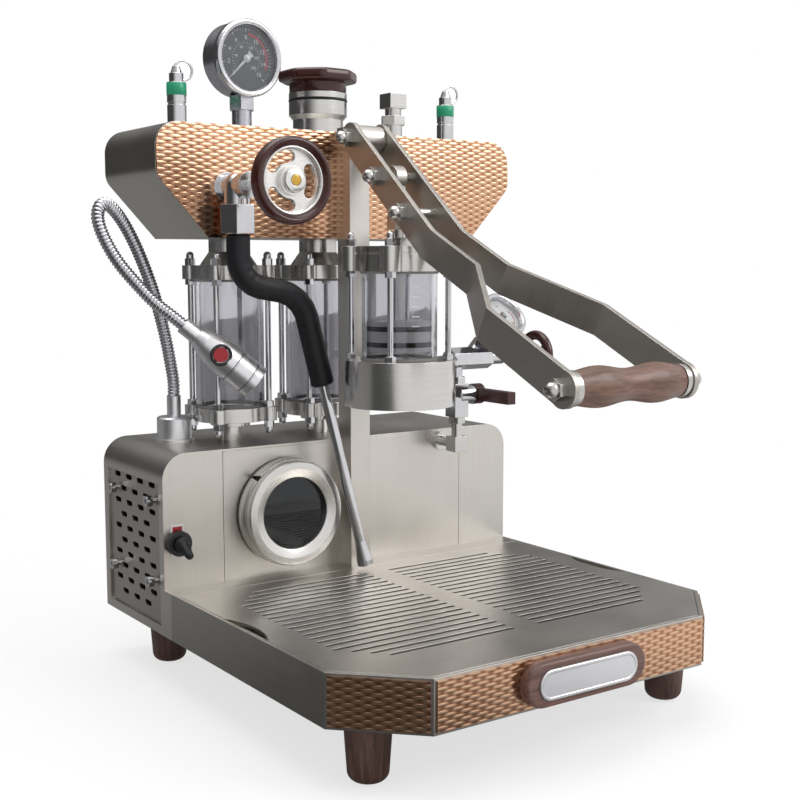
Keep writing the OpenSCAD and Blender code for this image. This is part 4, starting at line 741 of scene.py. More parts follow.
@dataclass
class Bodywork:
    """The CAD solids and the finish of each."""

    def finishes(self) -> Dict[str, Finish]:
        """Gives the finish of each solid.

        Returns:
            The finishes by node.
        """
        return {
            "chassis": SHEET_UP, "base_housing": SHEET_UP, "front_panel": SHEET_UP,
            "vent_plates": SHEET_DEEP, "vent_screws": CHROME, "mains_inlet": BLACK_PLASTIC,
            "tray_body": SHEET_DEEP, "drip_grate": SHEET_ACROSS, "tray_cladding": COPPER,
            "badge_plaque": WALNUT_ACROSS, "feet": WALNUT_UP,
            "boiler_vessel": LINING, "heating_element": HEATER, "porthole_clamp": TURNED_DEEP,
            "porthole_ring": TURNED_DEEP, "porthole_glass": PORTHOLE_GLASS,
            "toggle_body": BLACK_PLASTIC, "toggle_boot": RUBBER, "lamp_base": LAMP_SILVER,
            "gooseneck": NECK_STEEL, "lamp_head": LAMP_SILVER, "lamp_rocker": RED_PLASTIC,
            "column_flanges": TURNED_UP, "column_glasses": ACRYLIC, "tie_rods": CHROME,
            "flange_seals": SEAL_RING, "post": SHEET_UP, "tank_shell": SHEET_ACROSS,
            "tank_cladding": COPPER, "safety_valves": CHROME, "safety_pull_left": CHROME,
            "safety_pull_right": CHROME, "filler_neck": TURNED_UP, "filler_cap": PHENOLIC,
            "vent_fitting": TURNED_UP, "gauge_cases": CASE_STEEL, "gauge_needle": PRINT_WHITE,
            "group_gauge_needle": PRINT_BLACK, "gauge_glasses": GAUGE_GLASS,
            "steam_valve_body": CHROME, "steam_spindle": CAST_ALUMINIUM, "steam_wheel_rim": PHENOLIC,
            "wand_tube": CHROME, "wand_sleeve": RUBBER, "group_cap": TURNED_UP,
            "group_cylinder": ACRYLIC, "group_ring": TURNED_UP, "shower_screen": TURNED_UP,
            "piston": WHITE_PLASTIC, "piston_seals": RUBBER, "piston_rod": TURNED_UP,
            "lever_link": LEVER_STEEL, "lever_arms": LEVER_STEEL, "lever_bolts": TURNED_ACROSS,
            "handle_grip": HANDLE_WOOD, "supply_pipe": TURNED_UP, "ball_valve_body": CHROME,
            "ball_valve_handle": PHENOLIC, "cross_fitting": CHROME, "water_wheel": PHENOLIC,
        }

    def dress(self) -> None:
        """Gives every solid its finish."""
        for name, finish in self.finishes().items():
            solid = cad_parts[name]
            solid.data.materials.clear()
            solid.data.materials.append(finish.material())
            LOG.info("solid %s has finish %s", name, finish.name)


@dataclass
class Cladding:
    """Embossed copper plates on the tank and the tray. Sizes are in millimetres."""

    strand: float = 2.65
    period: float = 13.6
    relief: float = 0.28
    crown_share: float = 0.85
    flank_share: float = 0.15
    crown_power: float = 0.8
    steps_along: int = 10
    steps_across: int = 6
    corner_steps: int = 6
    tank_half_w: float = 179.7
    tank_low_half_w: float = 134.9
    tank_low: float = 372.2
    tank_mid: float = 421.1
    tank_top: float = 463.7
    tank_edge_r: float = 19.7
    tank_side_r: float = 15.7
    tank_front: float = 0.9
    tank_bulge: float = 1.6
    tank_back: float = 3.8
    tray_mid_z: float = 63.5
    tray_h: float = 35.0
    tray_front: float = 303.0
    tray_t: float = 1.5
    tray_half_front: float = 126.0
    side_half_w: float = 34.77
    side_mid_x: float = 154.0
    side_mid_y: float = 277.0
    side_turn: float = 45.0
    sharp: float = 60.0

    def height(self, u: float, v: float) -> float:
        """Gives the relief of flat strands that pass over and under upright cords.

        Args:
            u: Millimetres along the strands.
            v: Millimetres across them.

        Returns:
            A share from zero in the hollows to one on the crowns.
        """
        row = math.floor(v / self.strand)
        across = 2 * (v / self.strand - row) - 1
        wave = math.cos(2 * math.pi * u / self.period + math.pi * row)
        crown = max(0.0, 0.5 + 0.5 * wave) ** self.crown_power * math.sqrt(max(0.0, 1 - across ** 4))
        return crown * self.crown_share + self.flank_share * (1 - across ** 2)

    def net(self, outline: Sequence[Span]) -> Mesh:
        """Builds the embossed face over the box of an outline, facing -y.

        Args:
            outline: Corners of the outline across and up.

        Returns:
            The mesh under construction, in millimetres.
        """
        us, vs = [p[0] for p in outline], [p[1] for p in outline]
        step_u, step_v = self.period / self.steps_along, self.strand / self.steps_across
        cols = math.ceil((max(us) - min(us)) / step_u) + 1
        rows = math.ceil((max(vs) - min(vs)) / step_v) + 1
        bm = bmesh.new()
        layer = bm.verts.layers.float.new("relief")
        grid = []
        for i in range(rows):
            line = []
            for k in range(cols):
                u, v = min(us) + k * step_u, min(vs) + i * step_v
                share = self.height(u, v)
                vert = bm.verts.new((u, self.relief * (0.5 - share), v))
                # The share is also kept on each point, where the copper reads it to paint the hollows
                # darker, as painted shade.
                vert[layer] = share
                line.append(vert)
            grid.append(line)
        for low, high in zip(grid, grid[1:]):
            for k in range(cols - 1):
                bm.faces.new((low[k], low[k + 1], high[k + 1], high[k]))
        return bm

    def sheet(self, outline: Sequence[Span], back: float) -> Mesh:
        """Builds an embossed plate in x and z that faces -y, with its face at y = 0.

        Args:
            outline: Corners of a convex outline, anticlockwise seen from the front.
            back: Thickness of the plate.

        Returns:
            The mesh under construction, in millimetres.
        """
        bm = self.net(outline)
        for (u0, v0), (u1, v1) in zip(outline, list(outline[1:]) + [outline[0]]):
            outward = Vector((v1 - v0, 0, u0 - u1))
            geometry = bm.verts[:] + bm.edges[:] + bm.faces[:]
            bmesh.ops.bisect_plane(
                bm, geom=geometry, plane_co=(u0, 0, v0), plane_no=outward, clear_outer=True, dist=1e-4
            )
        rim = [edge for edge in bm.edges if edge.is_boundary]
        grown = bmesh.ops.extrude_edge_only(bm, edges=rim)["geom"]
        for vert in (item for item in grown if isinstance(item, bmesh.types.BMVert)):
            vert.co.y = back
        bmesh.ops.recalc_face_normals(bm, faces=bm.faces)
        return bm

    def tank_outline(self) -> Profile:
        """Gives the outline of the tank's front: sloped below, rounded above.

        Returns:
            Points across and up, anticlockwise from the lower right corner.
        """
        w, top, side = self.tank_half_w, self.tank_edge_r, self.tank_side_r
        slope = math.atan2(self.tank_mid - self.tank_low, w - self.tank_low_half_w)
        reach = side * math.tan((math.pi / 2 - slope) / 2)
        half = [(self.tank_low_half_w, self.tank_low)]
        for i in range(self.corner_steps + 1):
            a = (slope - math.pi / 2) * (1 - i / self.corner_steps)
            half.append((w - side + side * math.cos(a), self.tank_mid + reach + side * math.sin(a)))
        for i in range(self.corner_steps + 1):
            a = math.pi / 2 * i / self.corner_steps
            half.append((w - top + top * math.cos(a), self.tank_top - top + top * math.sin(a)))
        return half + [(-x, z) for x, z in reversed(half)]

    def box(self, half_w: float) -> Profile:
        """Gives the outline of a tray plate of some half width."""
        half_h = self.tray_h / 2
        return [(-half_w, -half_h), (half_w, -half_h), (half_w, half_h), (-half_w, half_h)]

    def place(self, bm: Mesh, x: float, y: float, z: float, degrees: float) -> None:
        """Moves a sheet from millimetres to its place in the frame, turned about the upright axis."""
        bm.transform(frame_at(spot(x, y, z), turn("Z", degrees), Matrix.Scale(MM, 4)))

    def dress_tank(self) -> None:
        """Puts the tank's front, which bulges a little, in place of its plain solid."""
        bm = self.sheet(self.tank_outline(), self.tank_back)
        middle, half = (self.tank_top + self.tank_low) / 2, (self.tank_top - self.tank_low) / 2
        for vert in bm.verts:
            if vert.co.y < self.tank_back / 2:
                vert.co.y -= self.tank_bulge * (1 - ((vert.co.z - middle) / half) ** 2)
        self.place(bm, 0, -self.tank_front, 0, 0)
        made = piece("tank_weave", bm, COPPER, "machine", self.sharp)
        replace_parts(made, "tank_cladding")

    def dress_tray(self) -> None:
        """Puts the tray's three plates in place of their plain solids."""
        places = [
            ("front", self.tray_half_front, 0.0, -self.tray_front - self.tray_t, 0.0),
            ("right", self.side_half_w, self.side_mid_x, -self.side_mid_y, self.side_turn),
            ("left", self.side_half_w, -self.side_mid_x, -self.side_mid_y, -self.side_turn),
        ]
        for name, half_w, x, y, degrees in places:
            bm = self.sheet(self.box(half_w), self.tray_t)
            if degrees:
                bm.transform(Matrix.Translation((0, -self.tray_t, 0)))
            self.place(bm, x, y, self.tray_mid_z, degrees)
            made = piece(f"tray_weave_{name}", bm, COPPER, "machine", self.sharp)
            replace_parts(made, "tray_cladding")

    def dress(self) -> None:
        """Builds all embossed plates."""
        self.dress_tank()
        self.dress_tray()


@dataclass
class Porthole:
    """Turned ring round the window and the split band behind it. Sizes are in millimetres."""

    place: Point = (-66.0, 0.0, 138.0)
    split_at: float = 135.0
    split_half: float = 2.6
    split_share: float = 0.5
    split_growth: float = 0.8
    band_inner: float = 42.1
    band_r: float = 46.2
    band_back: float = 2.0
    band_front: float = 13.8
    band_edge: float = 0.4
    band_bevel: float = 0.5
    band_steps: int = 144
    ring_steps: int = 160

    def ring(self, place: Matrix) -> Mesh:
        """Builds the ring: a flat outer face, then a shallow dish down to the glass.

        Args:
            place: Frame of the porthole, with z towards the front.

        Returns:
            The mesh under construction.
        """
        profile = [
            (31.0, 14.0), (45.0, 14.0), (45.2, 14.6), (45.2, 20.4), (44.9, 21.2), (44.2, 21.7), (43.6, 21.8),
            (38.8, 22.0), (38.3, 21.9), (31.6, 19.6), (31.2, 19.3), (31.0, 18.9), (31.0, 14.0),
        ]
        return lathe(place, profile, count=self.ring_steps, ends=False)

    def band(self, place: Matrix) -> Mesh:
        """Builds the band, open at its split, whose gap widens towards the front.

        Args:
            place: Frame of the porthole, with z towards the front.

        Returns:
            The mesh under construction.
        """
        low, high, edge = self.band_back, self.band_front, self.band_r - self.band_edge
        section = [
            (self.band_inner, low), (edge, low), (self.band_r, low + self.band_bevel),
            (self.band_r, high - self.band_bevel), (edge, high), (self.band_inner, high),
        ]
        loops = []
        for i in range(self.band_steps + 1):
            along = 2 * i / self.band_steps - 1
            loop = []
            for r, z in section:
                share = self.split_share + self.split_growth * (z - low) / (high - low)
                wedge = self.split_half * share
                a = math.radians(self.split_at + 180 + along * (180 - wedge))
                loop.append(place @ (MM * Vector((r * math.cos(a), r * math.sin(a), z))))
            loops.append(loop)
        return loft(loops)

    def dress(self) -> None:
        """Puts the smooth ring and band in place of their solids."""
        place = frame_at(spot(*self.place), turn("X", 90))
        ring = piece("porthole_bezel", self.ring(place), TURNED_DEEP, "machine", sharp=12)
        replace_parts(ring, "porthole_ring")
        band = piece("porthole_band", self.band(place), TURNED_DEEP, "machine", sharp=45)
        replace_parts(band, "porthole_clamp")


@dataclass
class Woodwork:
    """Turned feet and the plaque on the tray's front. Sizes are in millimetres."""

    foot_x: float = 144.0
    foot_front: float = -249.0
    foot_back: float = 72.0
    toe_r: float = 7.4
    plaque_w: float = 113.0
    plaque_h: float = 32.0
    plaque_t: float = 9.0
    plaque_round: float = 2.2
    back_y: float = -304.5
    mid_z: float = 63.5
    sharp: float = 50.0

    def foot(self) -> Profile:
        """Gives the section of a foot: a slow taper that ends in a round toe.

        Returns:
            Radius and height of each step.
        """
        r, toe = self.toe_r, []
        for degrees in range(0, 91, 10):
            a = math.radians(degrees)
            toe.append((r + r * math.sin(a), r - r * math.cos(a)))
        return [(0.4, 0.0)] + toe + [(15.4, 16.0), (16.4, 30.0), (16.9, 39.0), (17.0, 44.0)]

    def plaque(self) -> Mesh:
        """Builds the plaque with a rounded front edge.

        Returns:
            The mesh under construction.
        """
        steps = [(0.0, 0.0)]
        for degrees in range(0, 91, 15):
            a = math.radians(degrees)
            inset = self.plaque_round * (1 - math.cos(a))
            steps.append((inset, self.plaque_t - self.plaque_round * (1 - math.sin(a))))
        loops = []
        for inset, out in steps:
            outline = stadium(self.plaque_w - 2 * inset, self.plaque_h - 2 * inset, steps=24)
            loops.append([spot(x, self.back_y - out, self.mid_z + z) for x, z in outline])
        return loft(loops)

    def dress(self) -> None:
        """Puts the round feet and the plaque in place of their solids."""
        for end, y in (("front", self.foot_front), ("back", self.foot_back)):
            for side, x in (("left", -self.foot_x), ("right", self.foot_x)):
                turned = lathe(frame_at(spot(x, y, 0)), self.foot())
                foot = piece(f"foot_{end}_{side}", turned, WALNUT_UP, "machine", self.sharp)
                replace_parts(foot, "feet")
        plaque = piece("plaque", self.plaque(), WALNUT_ACROSS, "machine", self.sharp)
        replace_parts(plaque, "badge_plaque")


@dataclass
class Badge:
    """Bare plate on the wooden plaque, with a sunk field. Sizes are in millimetres."""

    w: float = 93.0
    h: float = 22.0
    t: float = 1.6
    edge: float = 0.5
    rim: float = 2.2
    field: float = 2.6
    sunk: float = 0.35
    face_y: float = -313.5
    mid_z: float = 63.5

    def dress(self) -> None:
        """Puts the plate on the plaque's face."""
        steps = (
            (0.0, 0.0), (0.0, self.t - self.edge), (self.edge, self.t), (self.rim, self.t),
            (self.field, self.t - self.sunk),
        )
        loops = []
        for inset, out in steps:
            outline = stadium(self.w - 2 * inset, self.h - 2 * inset)
            loops.append([spot(x, self.face_y - out, self.mid_z + z) for x, z in outline])
        piece("badge_plate", loft(loops), PLATE_ALUMINIUM, "machine", sharp=30)


# A hand's outline as shares of the dial's radius, along the hand and across it.
HAND_OUTLINE = (
    (-0.24, 0.11), (0.0, 0.045), (0.45, 0.03), (0.86, 0.008),
    (0.86, -0.008), (0.45, -0.03), (0.0, -0.045), (-0.24, -0.11),
)


@dataclass
class Gauge:
    """A pressure gauge: dial, printed scale, hand and bezel.

    Sizes are in millimetres. Places on the dial are shares of its radius, and widths of ticks are
    shares of the scale.
    """

    name: str
    place: Matrix
    r: float
    depth: float
    dial: Finish
    ink: Finish
    body: str
    needle: str
    needle_slot: str
    numbers: Tuple[str, ...]
    red_from: float
    red_to: float
    inner_numbers: Tuple[str, ...] = ()
    plugged: bool = False
    bezel: float = 3.5
    dial_depth: float = 7.0
    dial_gap: float = 0.3
    dial_bore: float = 1.7
    dial_low: float = 0.05
    dial_high: float = 0.3
    start: float = 225.0
    sweep: float = 270.0
    print_lift: float = 0.35
    ticks: int = 5
    major_half: float = 0.0028
    minor_half: float = 0.0014
    major_from: float = 0.80
    minor_from: float = 0.85
    tick_to: float = 0.92
    number_at: float = 0.64
    number_size: float = 0.19
    inner_at: float = 0.37
    inner_size: float = 0.12
    inner_half: float = 0.003
    inner_from: float = 0.46
    inner_to: float = 0.51
    red_steps: int = 24
    red_inner: float = 0.72
    red_outer: float = 0.79
    hand_low: float = 0.8
    hand_high: float = 1.6
    hub_r: float = 3.4
    hub_top_r: float = 2.6
    hub_rise: float = 0.6
    hub_top: float = 1.0
    plug_sunk: float = 0.6

    def on_dial(self, share: float, r: float, lift: float) -> Vector:
        """Gives a point on the dial.

        Args:
            share: Share of the scale, from zero to one.
            r: Distance from the middle.
            lift: Height above the dial.

        Returns:
            The point in the gauge's own frame, in millimetres.
        """
        a = math.radians(self.start - self.sweep * share)
        return Vector((r * math.cos(a), r * math.sin(a), self.depth - self.dial_depth + lift))

    def quad(self, bm: Mesh, share: float, width: float, r0: float, r1: float) -> None:
        """Adds one printed tick between two radii.

        Args:
            bm: Mesh that gets the tick.
            share: Where it stands on the scale, from zero to one.
            width: Half its width as a share of the scale.
            r0: Its inner radius.
            r1: Its outer radius.
        """
        lift = self.print_lift
        points = [
            self.on_dial(share - width, r0, lift), self.on_dial(share + width, r0, lift),
            self.on_dial(share + width, r1, lift), self.on_dial(share - width, r1, lift),
        ]
        bm.faces.new([bm.verts.new(point) for point in points])

    def number(self, bm: Mesh, text: str, share: float, r: float, size: float) -> None:
        """Adds one upright number with its middle on the dial.

        Args:
            bm: Mesh that gets the number.
            text: The number.
            share: Where it stands on the scale, from zero to one.
            r: Distance of its middle from the dial's.
            size: Height of the type.
        """
        curve = bpy.data.curves.new("number", "FONT")
        curve.body = text
        curve.size = size
        curve.align_x = "CENTER"
        curve.align_y = "CENTER"
        holder = bpy.data.objects.new("number", curve)
        mesh = bpy.data.meshes.new_from_object(holder)
        mesh.transform(Matrix.Translation(self.on_dial(share, r, self.print_lift)))
        bm.from_mesh(mesh)
        bpy.data.objects.remove(holder)
        bpy.data.curves.remove(curve)
        bpy.data.meshes.remove(mesh)

    def inner_scale(self, bm: Mesh, r: float) -> None:
        """Adds the smaller scale inside the main one, if the gauge has it.

        Args:
            bm: Mesh that gets the scale.
            r: Radius of the dial.
        """
        last = len(self.inner_numbers) - 1
        step = 1 / self.ticks
        for i, text in enumerate(self.inner_numbers):
            share = i / last
            self.number(bm, text, share, r * self.inner_at, r * self.inner_size)
            for k in range(self.ticks if share < 1 else 1):
                along = share + step * k / last
                self.quad(bm, along, self.inner_half, r * self.inner_from, r * self.inner_to)

    def scale(self, r: float) -> Mesh:
        """Builds the ticks and numbers.

        Args:
            r: Radius of the dial.

        Returns:
            The mesh under construction, in the gauge's own frame.
        """
        bm = bmesh.new()
        last = len(self.numbers) - 1
        steps = self.ticks * last
        for i in range(steps + 1):
            major = i % self.ticks == 0
            half = self.major_half if major else self.minor_half
            inner = self.major_from if major else self.minor_from
            self.quad(bm, i / steps, half, r * inner, r * self.tick_to)
        for i, text in enumerate(self.numbers):
            self.number(bm, text, i / last, r * self.number_at, r * self.number_size)
        self.inner_scale(bm, r)
        return bm

    def red_band(self, r: float) -> Mesh:
        """Builds the red band of the scale.

        Args:
            r: Radius of the dial.

        Returns:
            The mesh under construction, in the gauge's own frame.
        """
        bm = bmesh.new()
        length = self.red_to - self.red_from
        for i in range(self.red_steps):
            middle = self.red_from + length * (i + 0.5) / self.red_steps
            self.quad(bm, middle, length / self.red_steps / 2, r * self.red_inner, r * self.red_outer)
        return bm

    def hand(self, r: float) -> Mesh:
        """Builds a hand that narrows to its tip, with a broad tail and a hub.

        Args:
            r: Radius of the dial.

        Returns:
            The mesh under construction, in the gauge's own frame.
        """
        floor = self.depth - self.dial_depth
        low, high = floor + self.hand_low, floor + self.hand_high
        a = math.radians(self.start)
        along, side = Vector((math.cos(a), math.sin(a), 0)), Vector((-math.sin(a), math.cos(a), 0))
        bm = loft([
            [r * (x * along + y * side) + Vector((0, 0, z)) for x, y in HAND_OUTLINE] for z in (low, high)
        ])
        edge, top = high + self.hub_rise, high + self.hub_top
        steps = ((self.hub_r, low), (self.hub_r, edge), (self.hub_top_r, top))
        hub = loft([circle(Vector((0, 0, z)), along, side, s, count=24) for s, z in steps])
        mesh = bpy.data.meshes.new("hub")
        hub.to_mesh(mesh)
        hub.free()
        bm.from_mesh(mesh)
        bpy.data.meshes.remove(mesh)
        return bm

    def lip(self) -> Profile:
        """Gives the section of the bezel, which reaches over the edge of the window.

        Returns:
            Radius and height of each step.
        """
        d, r = self.depth, self.r
        return [
            (r + 0.2, d - 7), (r + 1.0, d - 6.2), (r + 1.1, d - 1.2), (r + 0.5, d + 0.4), (r - 0.8, d + 0.9),
            (r - 2.2, d + 0.6), (r - 3.4, d - 0.4), (r - 3.45, d - 0.9), (r - 2.0, d - 0.9),
            (r + 0.2, d - 1.5), (r + 0.2, d - 7),
        ]

    def plug(self) -> None:
        """Puts a rubber plug on top of the case."""
        top = Matrix.Translation(MM * Vector((0, self.r - self.plug_sunk, self.depth / 2)))
        profile = [(3.0, 0.0), (3.0, 1.8), (2.4, 2.3), (0.3, 2.4)]
        bm = lathe(self.place @ top @ turn("X", -90), profile, count=24)
        piece(self.name + "_plug", bm, RUBBER, "machine", sharp=40)

    def dress(self) -> None:
        """Builds the dial with its print, the hand and the bezel."""
        inner = self.r - self.bezel - self.dial_gap
        low = self.depth - self.dial_depth + self.dial_low
        high = self.depth - self.dial_depth + self.dial_high
        disc = [(self.dial_bore, low), (self.dial_bore, high), (inner, high), (inner, low)]
        dial = lathe(self.place, disc, count=72, ends=False)
        piece(self.name + "_dial", dial, self.dial, "machine", sharp=30)
        to_frame = self.place @ Matrix.Scale(MM, 4)
        prints = (("scale", self.scale(inner), self.ink), ("red_band", self.red_band(inner), PRINT_RED))
        for kind, bm, ink in prints:
            bm.transform(to_frame)
            piece(f"{self.name}_{kind}", bm, ink, "machine")
        hand = self.hand(inner)
        hand.transform(to_frame)
        made = piece(self.name + "_hand", hand, self.ink, self.body, sharp=30)
        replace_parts(made, self.needle)
        bezel = lathe(self.place, self.lip(), count=96, ends=False)
        piece(self.name + "_bezel", bezel, CHROME, "machine", sharp=50)
        if self.plugged:
            self.plug()


def gauges() -> List[Gauge]:
    """Gives the gauge on the tank and the one beside the group.

    Returns:
        Both gauges, each with the frame that its case has in the solids.
    """
    tank = frame_at(
        spot(-77, 48, 464), turn("Z", 5), Matrix.Translation((0, 0.011, 0.061)), turn("X", 90)
    )
    group = frame_at(
        spot(150, -38, 305), turn("Z", 10), turn("X", -40), turn("X", 90),
        Matrix.Translation((0, 0, -0.022)),
    )
    outer = tuple(str(2 * i) for i in range(9))
    inner = tuple(str(40 * i) for i in range(6))
    return [
        Gauge(
            name="tank_gauge", place=tank, r=31.5, depth=25, dial=DIAL_DARK, ink=PRINT_WHITE,
            body="gauge_hand", needle="gauge_needle", needle_slot="needle_white", numbers=outer,
            red_from=0.52, red_to=0.92, inner_numbers=inner, plugged=True,
        ),
        Gauge(
            name="group_gauge", place=group, r=22.0, depth=22, dial=DIAL_PALE, ink=PRINT_BLACK,
            body="group_gauge_hand", needle="group_gauge_needle", needle_slot="needle_black",
            numbers=("0", "5", "10", "15", "20"), red_from=0.75, red_to=1.0,
        ),
    ]


@dataclass
class Lamp:
    """Gooseneck lamp: wound neck, lens, joint lines and switch surround. Sizes are in millimetres."""

    neck: Point = (-147.0, 0.0, 292.0)
    direction: Point = (45.0, -16.0, -40.0)
    head_r: float = 15.0
    head_len: float = 62.0
    wall: float = 2.1
    collar_len: float = 14.0
    straight: float = 12.0
    rocker_at: float = 24.0
    joints: Tuple[float, float] = (54.0, 38.0)
    joint_r: float = 14.3
    joint_inner: float = 13.8
    joint_half: float = 0.7
    goose_r: float = 5.4
    seam: float = 1.1
    turns: int = 108
    turn_steps: int = 8

    def head_frame(self) -> Matrix:
        """Finds where the head is.

        Returns:
            Its frame, with z along its axis towards the light.
        """
        x, y, z = self.direction
        length = math.sqrt(x * x + y * y + z * z)
        tilt, heading = math.degrees(math.acos(z / length)), math.degrees(math.atan2(y, x))
        return frame_at(spot(*self.neck), turn("Z", heading), turn("Y", tilt))

    def path(self) -> List[Vector]:
        """Gives the bends of the neck.

        Returns:
            Places from the lamp's foot to its head, in metres.
        """
        aim = Vector(self.direction).normalized()
        end = Vector(self.neck) - self.collar_len * aim
        bends = [
            (-137, 68, 236.4), (-137, 68, 248.4), (-139, 68, 262), (-143, 67, 282), (-148, 66, 302),
            (-155, 63, 323), (-164, 60, 345), (-176, 55, 368), (-189, 50, 387), (-202, 44, 398),
            (-211, 39, 397), (-215, 35, 387), (-212, 31, 372), (-203, 26, 353), (-191, 20, 336),
            (-178, 13, 320), tuple(end - self.straight * aim), tuple(end),
        ]
        return [spot(*bend) for bend in bends]

    def wound_neck(self) -> Mesh:
        """Builds the neck from round turns of strip that touch.

        Returns:
            The mesh under construction.
        """
        steps = self.turn_steps * self.turns
        path = even_path(smooth_path(self.path(), steps=12), steps)
        crowns = [0.5 + 0.5 * math.cos(2 * math.pi * i / self.turn_steps) for i in range(steps + 1)]
        radii = [(self.goose_r - self.seam + self.seam * crown ** 0.5) * MM for crown in crowns]
        return sweep(path, radii, count=20)

    def light(self, head: Matrix) -> None:
        """Builds the reflector and the lens in the head's mouth.

        Args:
            head: Frame of the head.
        """
        mouth, end = self.head_r - self.wall, self.head_len
        cup = [
            (mouth, end - 0.6), (mouth - 0.6, end - 1.2), (mouth * 0.7, end - 7), (mouth * 0.35, end - 9.8),
            (0.4, end - 9.9),
        ]
        piece("lamp_reflector", lathe(head, cup, count=64, ends=False), CHROME, "lamp", sharp=60)
        dome = [
            (0.3, end - 4.5), (mouth - 1.2, end - 4.5), (mouth - 1.2, end - 3.2), (mouth * 0.7, end - 2.0),
            (mouth * 0.35, end - 1.2), (0.3, end - 1.0),
        ]
        piece("lamp_lens", lathe(head, dome), LENS, "lamp", sharp=40)

    def joint_lines(self, head: Matrix) -> None:
        """Lays a dark ring in each groove where two parts of the head are screwed together.

        Args:
            head: Frame of the head.
        """
        for name, z in zip(("front", "back"), self.joints):
            low, high = z - self.joint_half, z + self.joint_half
            line = [
                (self.joint_inner, low), (self.joint_r, low), (self.joint_r, high), (self.joint_inner, high),
                (self.joint_inner, low),
            ]
            ring = lathe(head, line, count=64, ends=False)
            piece(f"lamp_joint_{name}", ring, RUBBER, "lamp", sharp=40)

    def switch_surround(self, head: Matrix) -> None:
        """Builds the black ring round the rocker.

        Args:
            head: Frame of the head.
        """
        switch = head @ Matrix.Translation((0, 0, self.rocker_at * MM)) @ turn("X", 90)
        ring = [(7.2, 9.0), (9.1, 9.0), (9.1, 13.8), (8.7, 14.5), (7.6, 14.8), (7.2, 14.5), (7.2, 9.0)]
        bm = lathe(switch, ring, count=48, ends=False)
        piece("lamp_switch_surround", bm, BLACK_PLASTIC, "lamp", sharp=40)

    def dress(self) -> None:
        """Puts the wound neck in place of its solid, and builds the pieces of the head."""
        neck = piece("lamp_neck", self.wound_neck(), NECK_STEEL, "lamp", sharp=80)
        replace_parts(neck, "gooseneck")
        head = self.head_frame()
        self.light(head)
        self.joint_lines(head)
        self.switch_surround(head)


@dataclass
class SteamWand:
    """Rubber sleeve on the wand's bends. Sizes are in millimetres.

    A fold is its height, how fast it ripples, and its place and length as shares of the sleeve.
    """

    x: float = -119.0
    y: float = -22.0
    turned: float = -7.0
    top: float = 374.6
    bend_z: float = 355.6
    r1: float = 25.0
    r2: float = 32.0
    turn1: float = 80.0
    turn2: float = 66.0
    run: float = 14.5
    end: float = 58.0
    r: float = 10.0
    slack: float = 0.25
    end_round: float = 1.6
    end_steps: float = 2.0
    bend_steps: int = 16
    steps: int = 180
    folds: Tuple[Tuple[float, float, float, float], ...] = (
        (0.18, 120.0, 0.22, 0.07), (0.14, 110.0, 0.55, 0.08),
    )

    def path(self) -> List[Vector]:
        """Gives the sleeve's middle line: down from the valve, across, and down again.

        Returns:
            Places along it, in metres.
        """
        heading = math.radians(self.turn1 - 90)
        fall = heading - math.radians(self.turn2)
        flat = [(0.0, self.top), (0.0, self.bend_z)]
        for i in range(1, self.bend_steps + 1):
            a = math.radians(self.turn1) * i / self.bend_steps
            flat.append((self.r1 * (1 - math.cos(a)), self.bend_z - self.r1 * math.sin(a)))
        u, z = flat[-1]
        u, z = u + self.run * math.cos(heading), z + self.run * math.sin(heading)
        flat.append((u, z))
        cu, cz = u + self.r2 * math.sin(heading), z - self.r2 * math.cos(heading)
        for i in range(1, self.bend_steps + 1):
            a = heading + (fall - heading) * i / self.bend_steps
            flat.append((cu - self.r2 * math.sin(a), cz + self.r2 * math.cos(a)))
        u, z = flat[-1]
        flat.append((u + self.end * math.cos(fall), z + self.end * math.sin(fall)))
        to_frame = frame_at(spot(self.x, self.y, 0), turn("Z", self.turned), Matrix.Scale(MM, 4))
        return [to_frame @ Vector((u, 0, z)) for u, z in flat]

    def sleeve(self) -> Mesh:
        """Builds the sleeve with rounded ends and soft folds where it bends.

        Returns:
            The mesh under construction.
        """
        radii = []
        for i in range(self.steps + 1):
            share = i / self.steps
            edge = min(i, self.steps - i)
            fold = 0.0
            for height, rate, at, length in self.folds:
                fold += height * math.sin(share * rate) * math.exp(-((share - at) / length) ** 2)
            round_off = self.end_round * max(0.0, 1 - edge / self.end_steps) ** 2
            radii.append((self.r - self.slack + fold - round_off) * MM)
        return sweep(even_path(self.path(), self.steps), radii, count=40)

    def dress(self) -> None:
        """Puts the sleeve in place of its plain solid."""
        grip = piece("wand_grip", self.sleeve(), RUBBER, "wand", sharp=60)
        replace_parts(grip, "wand_sleeve")


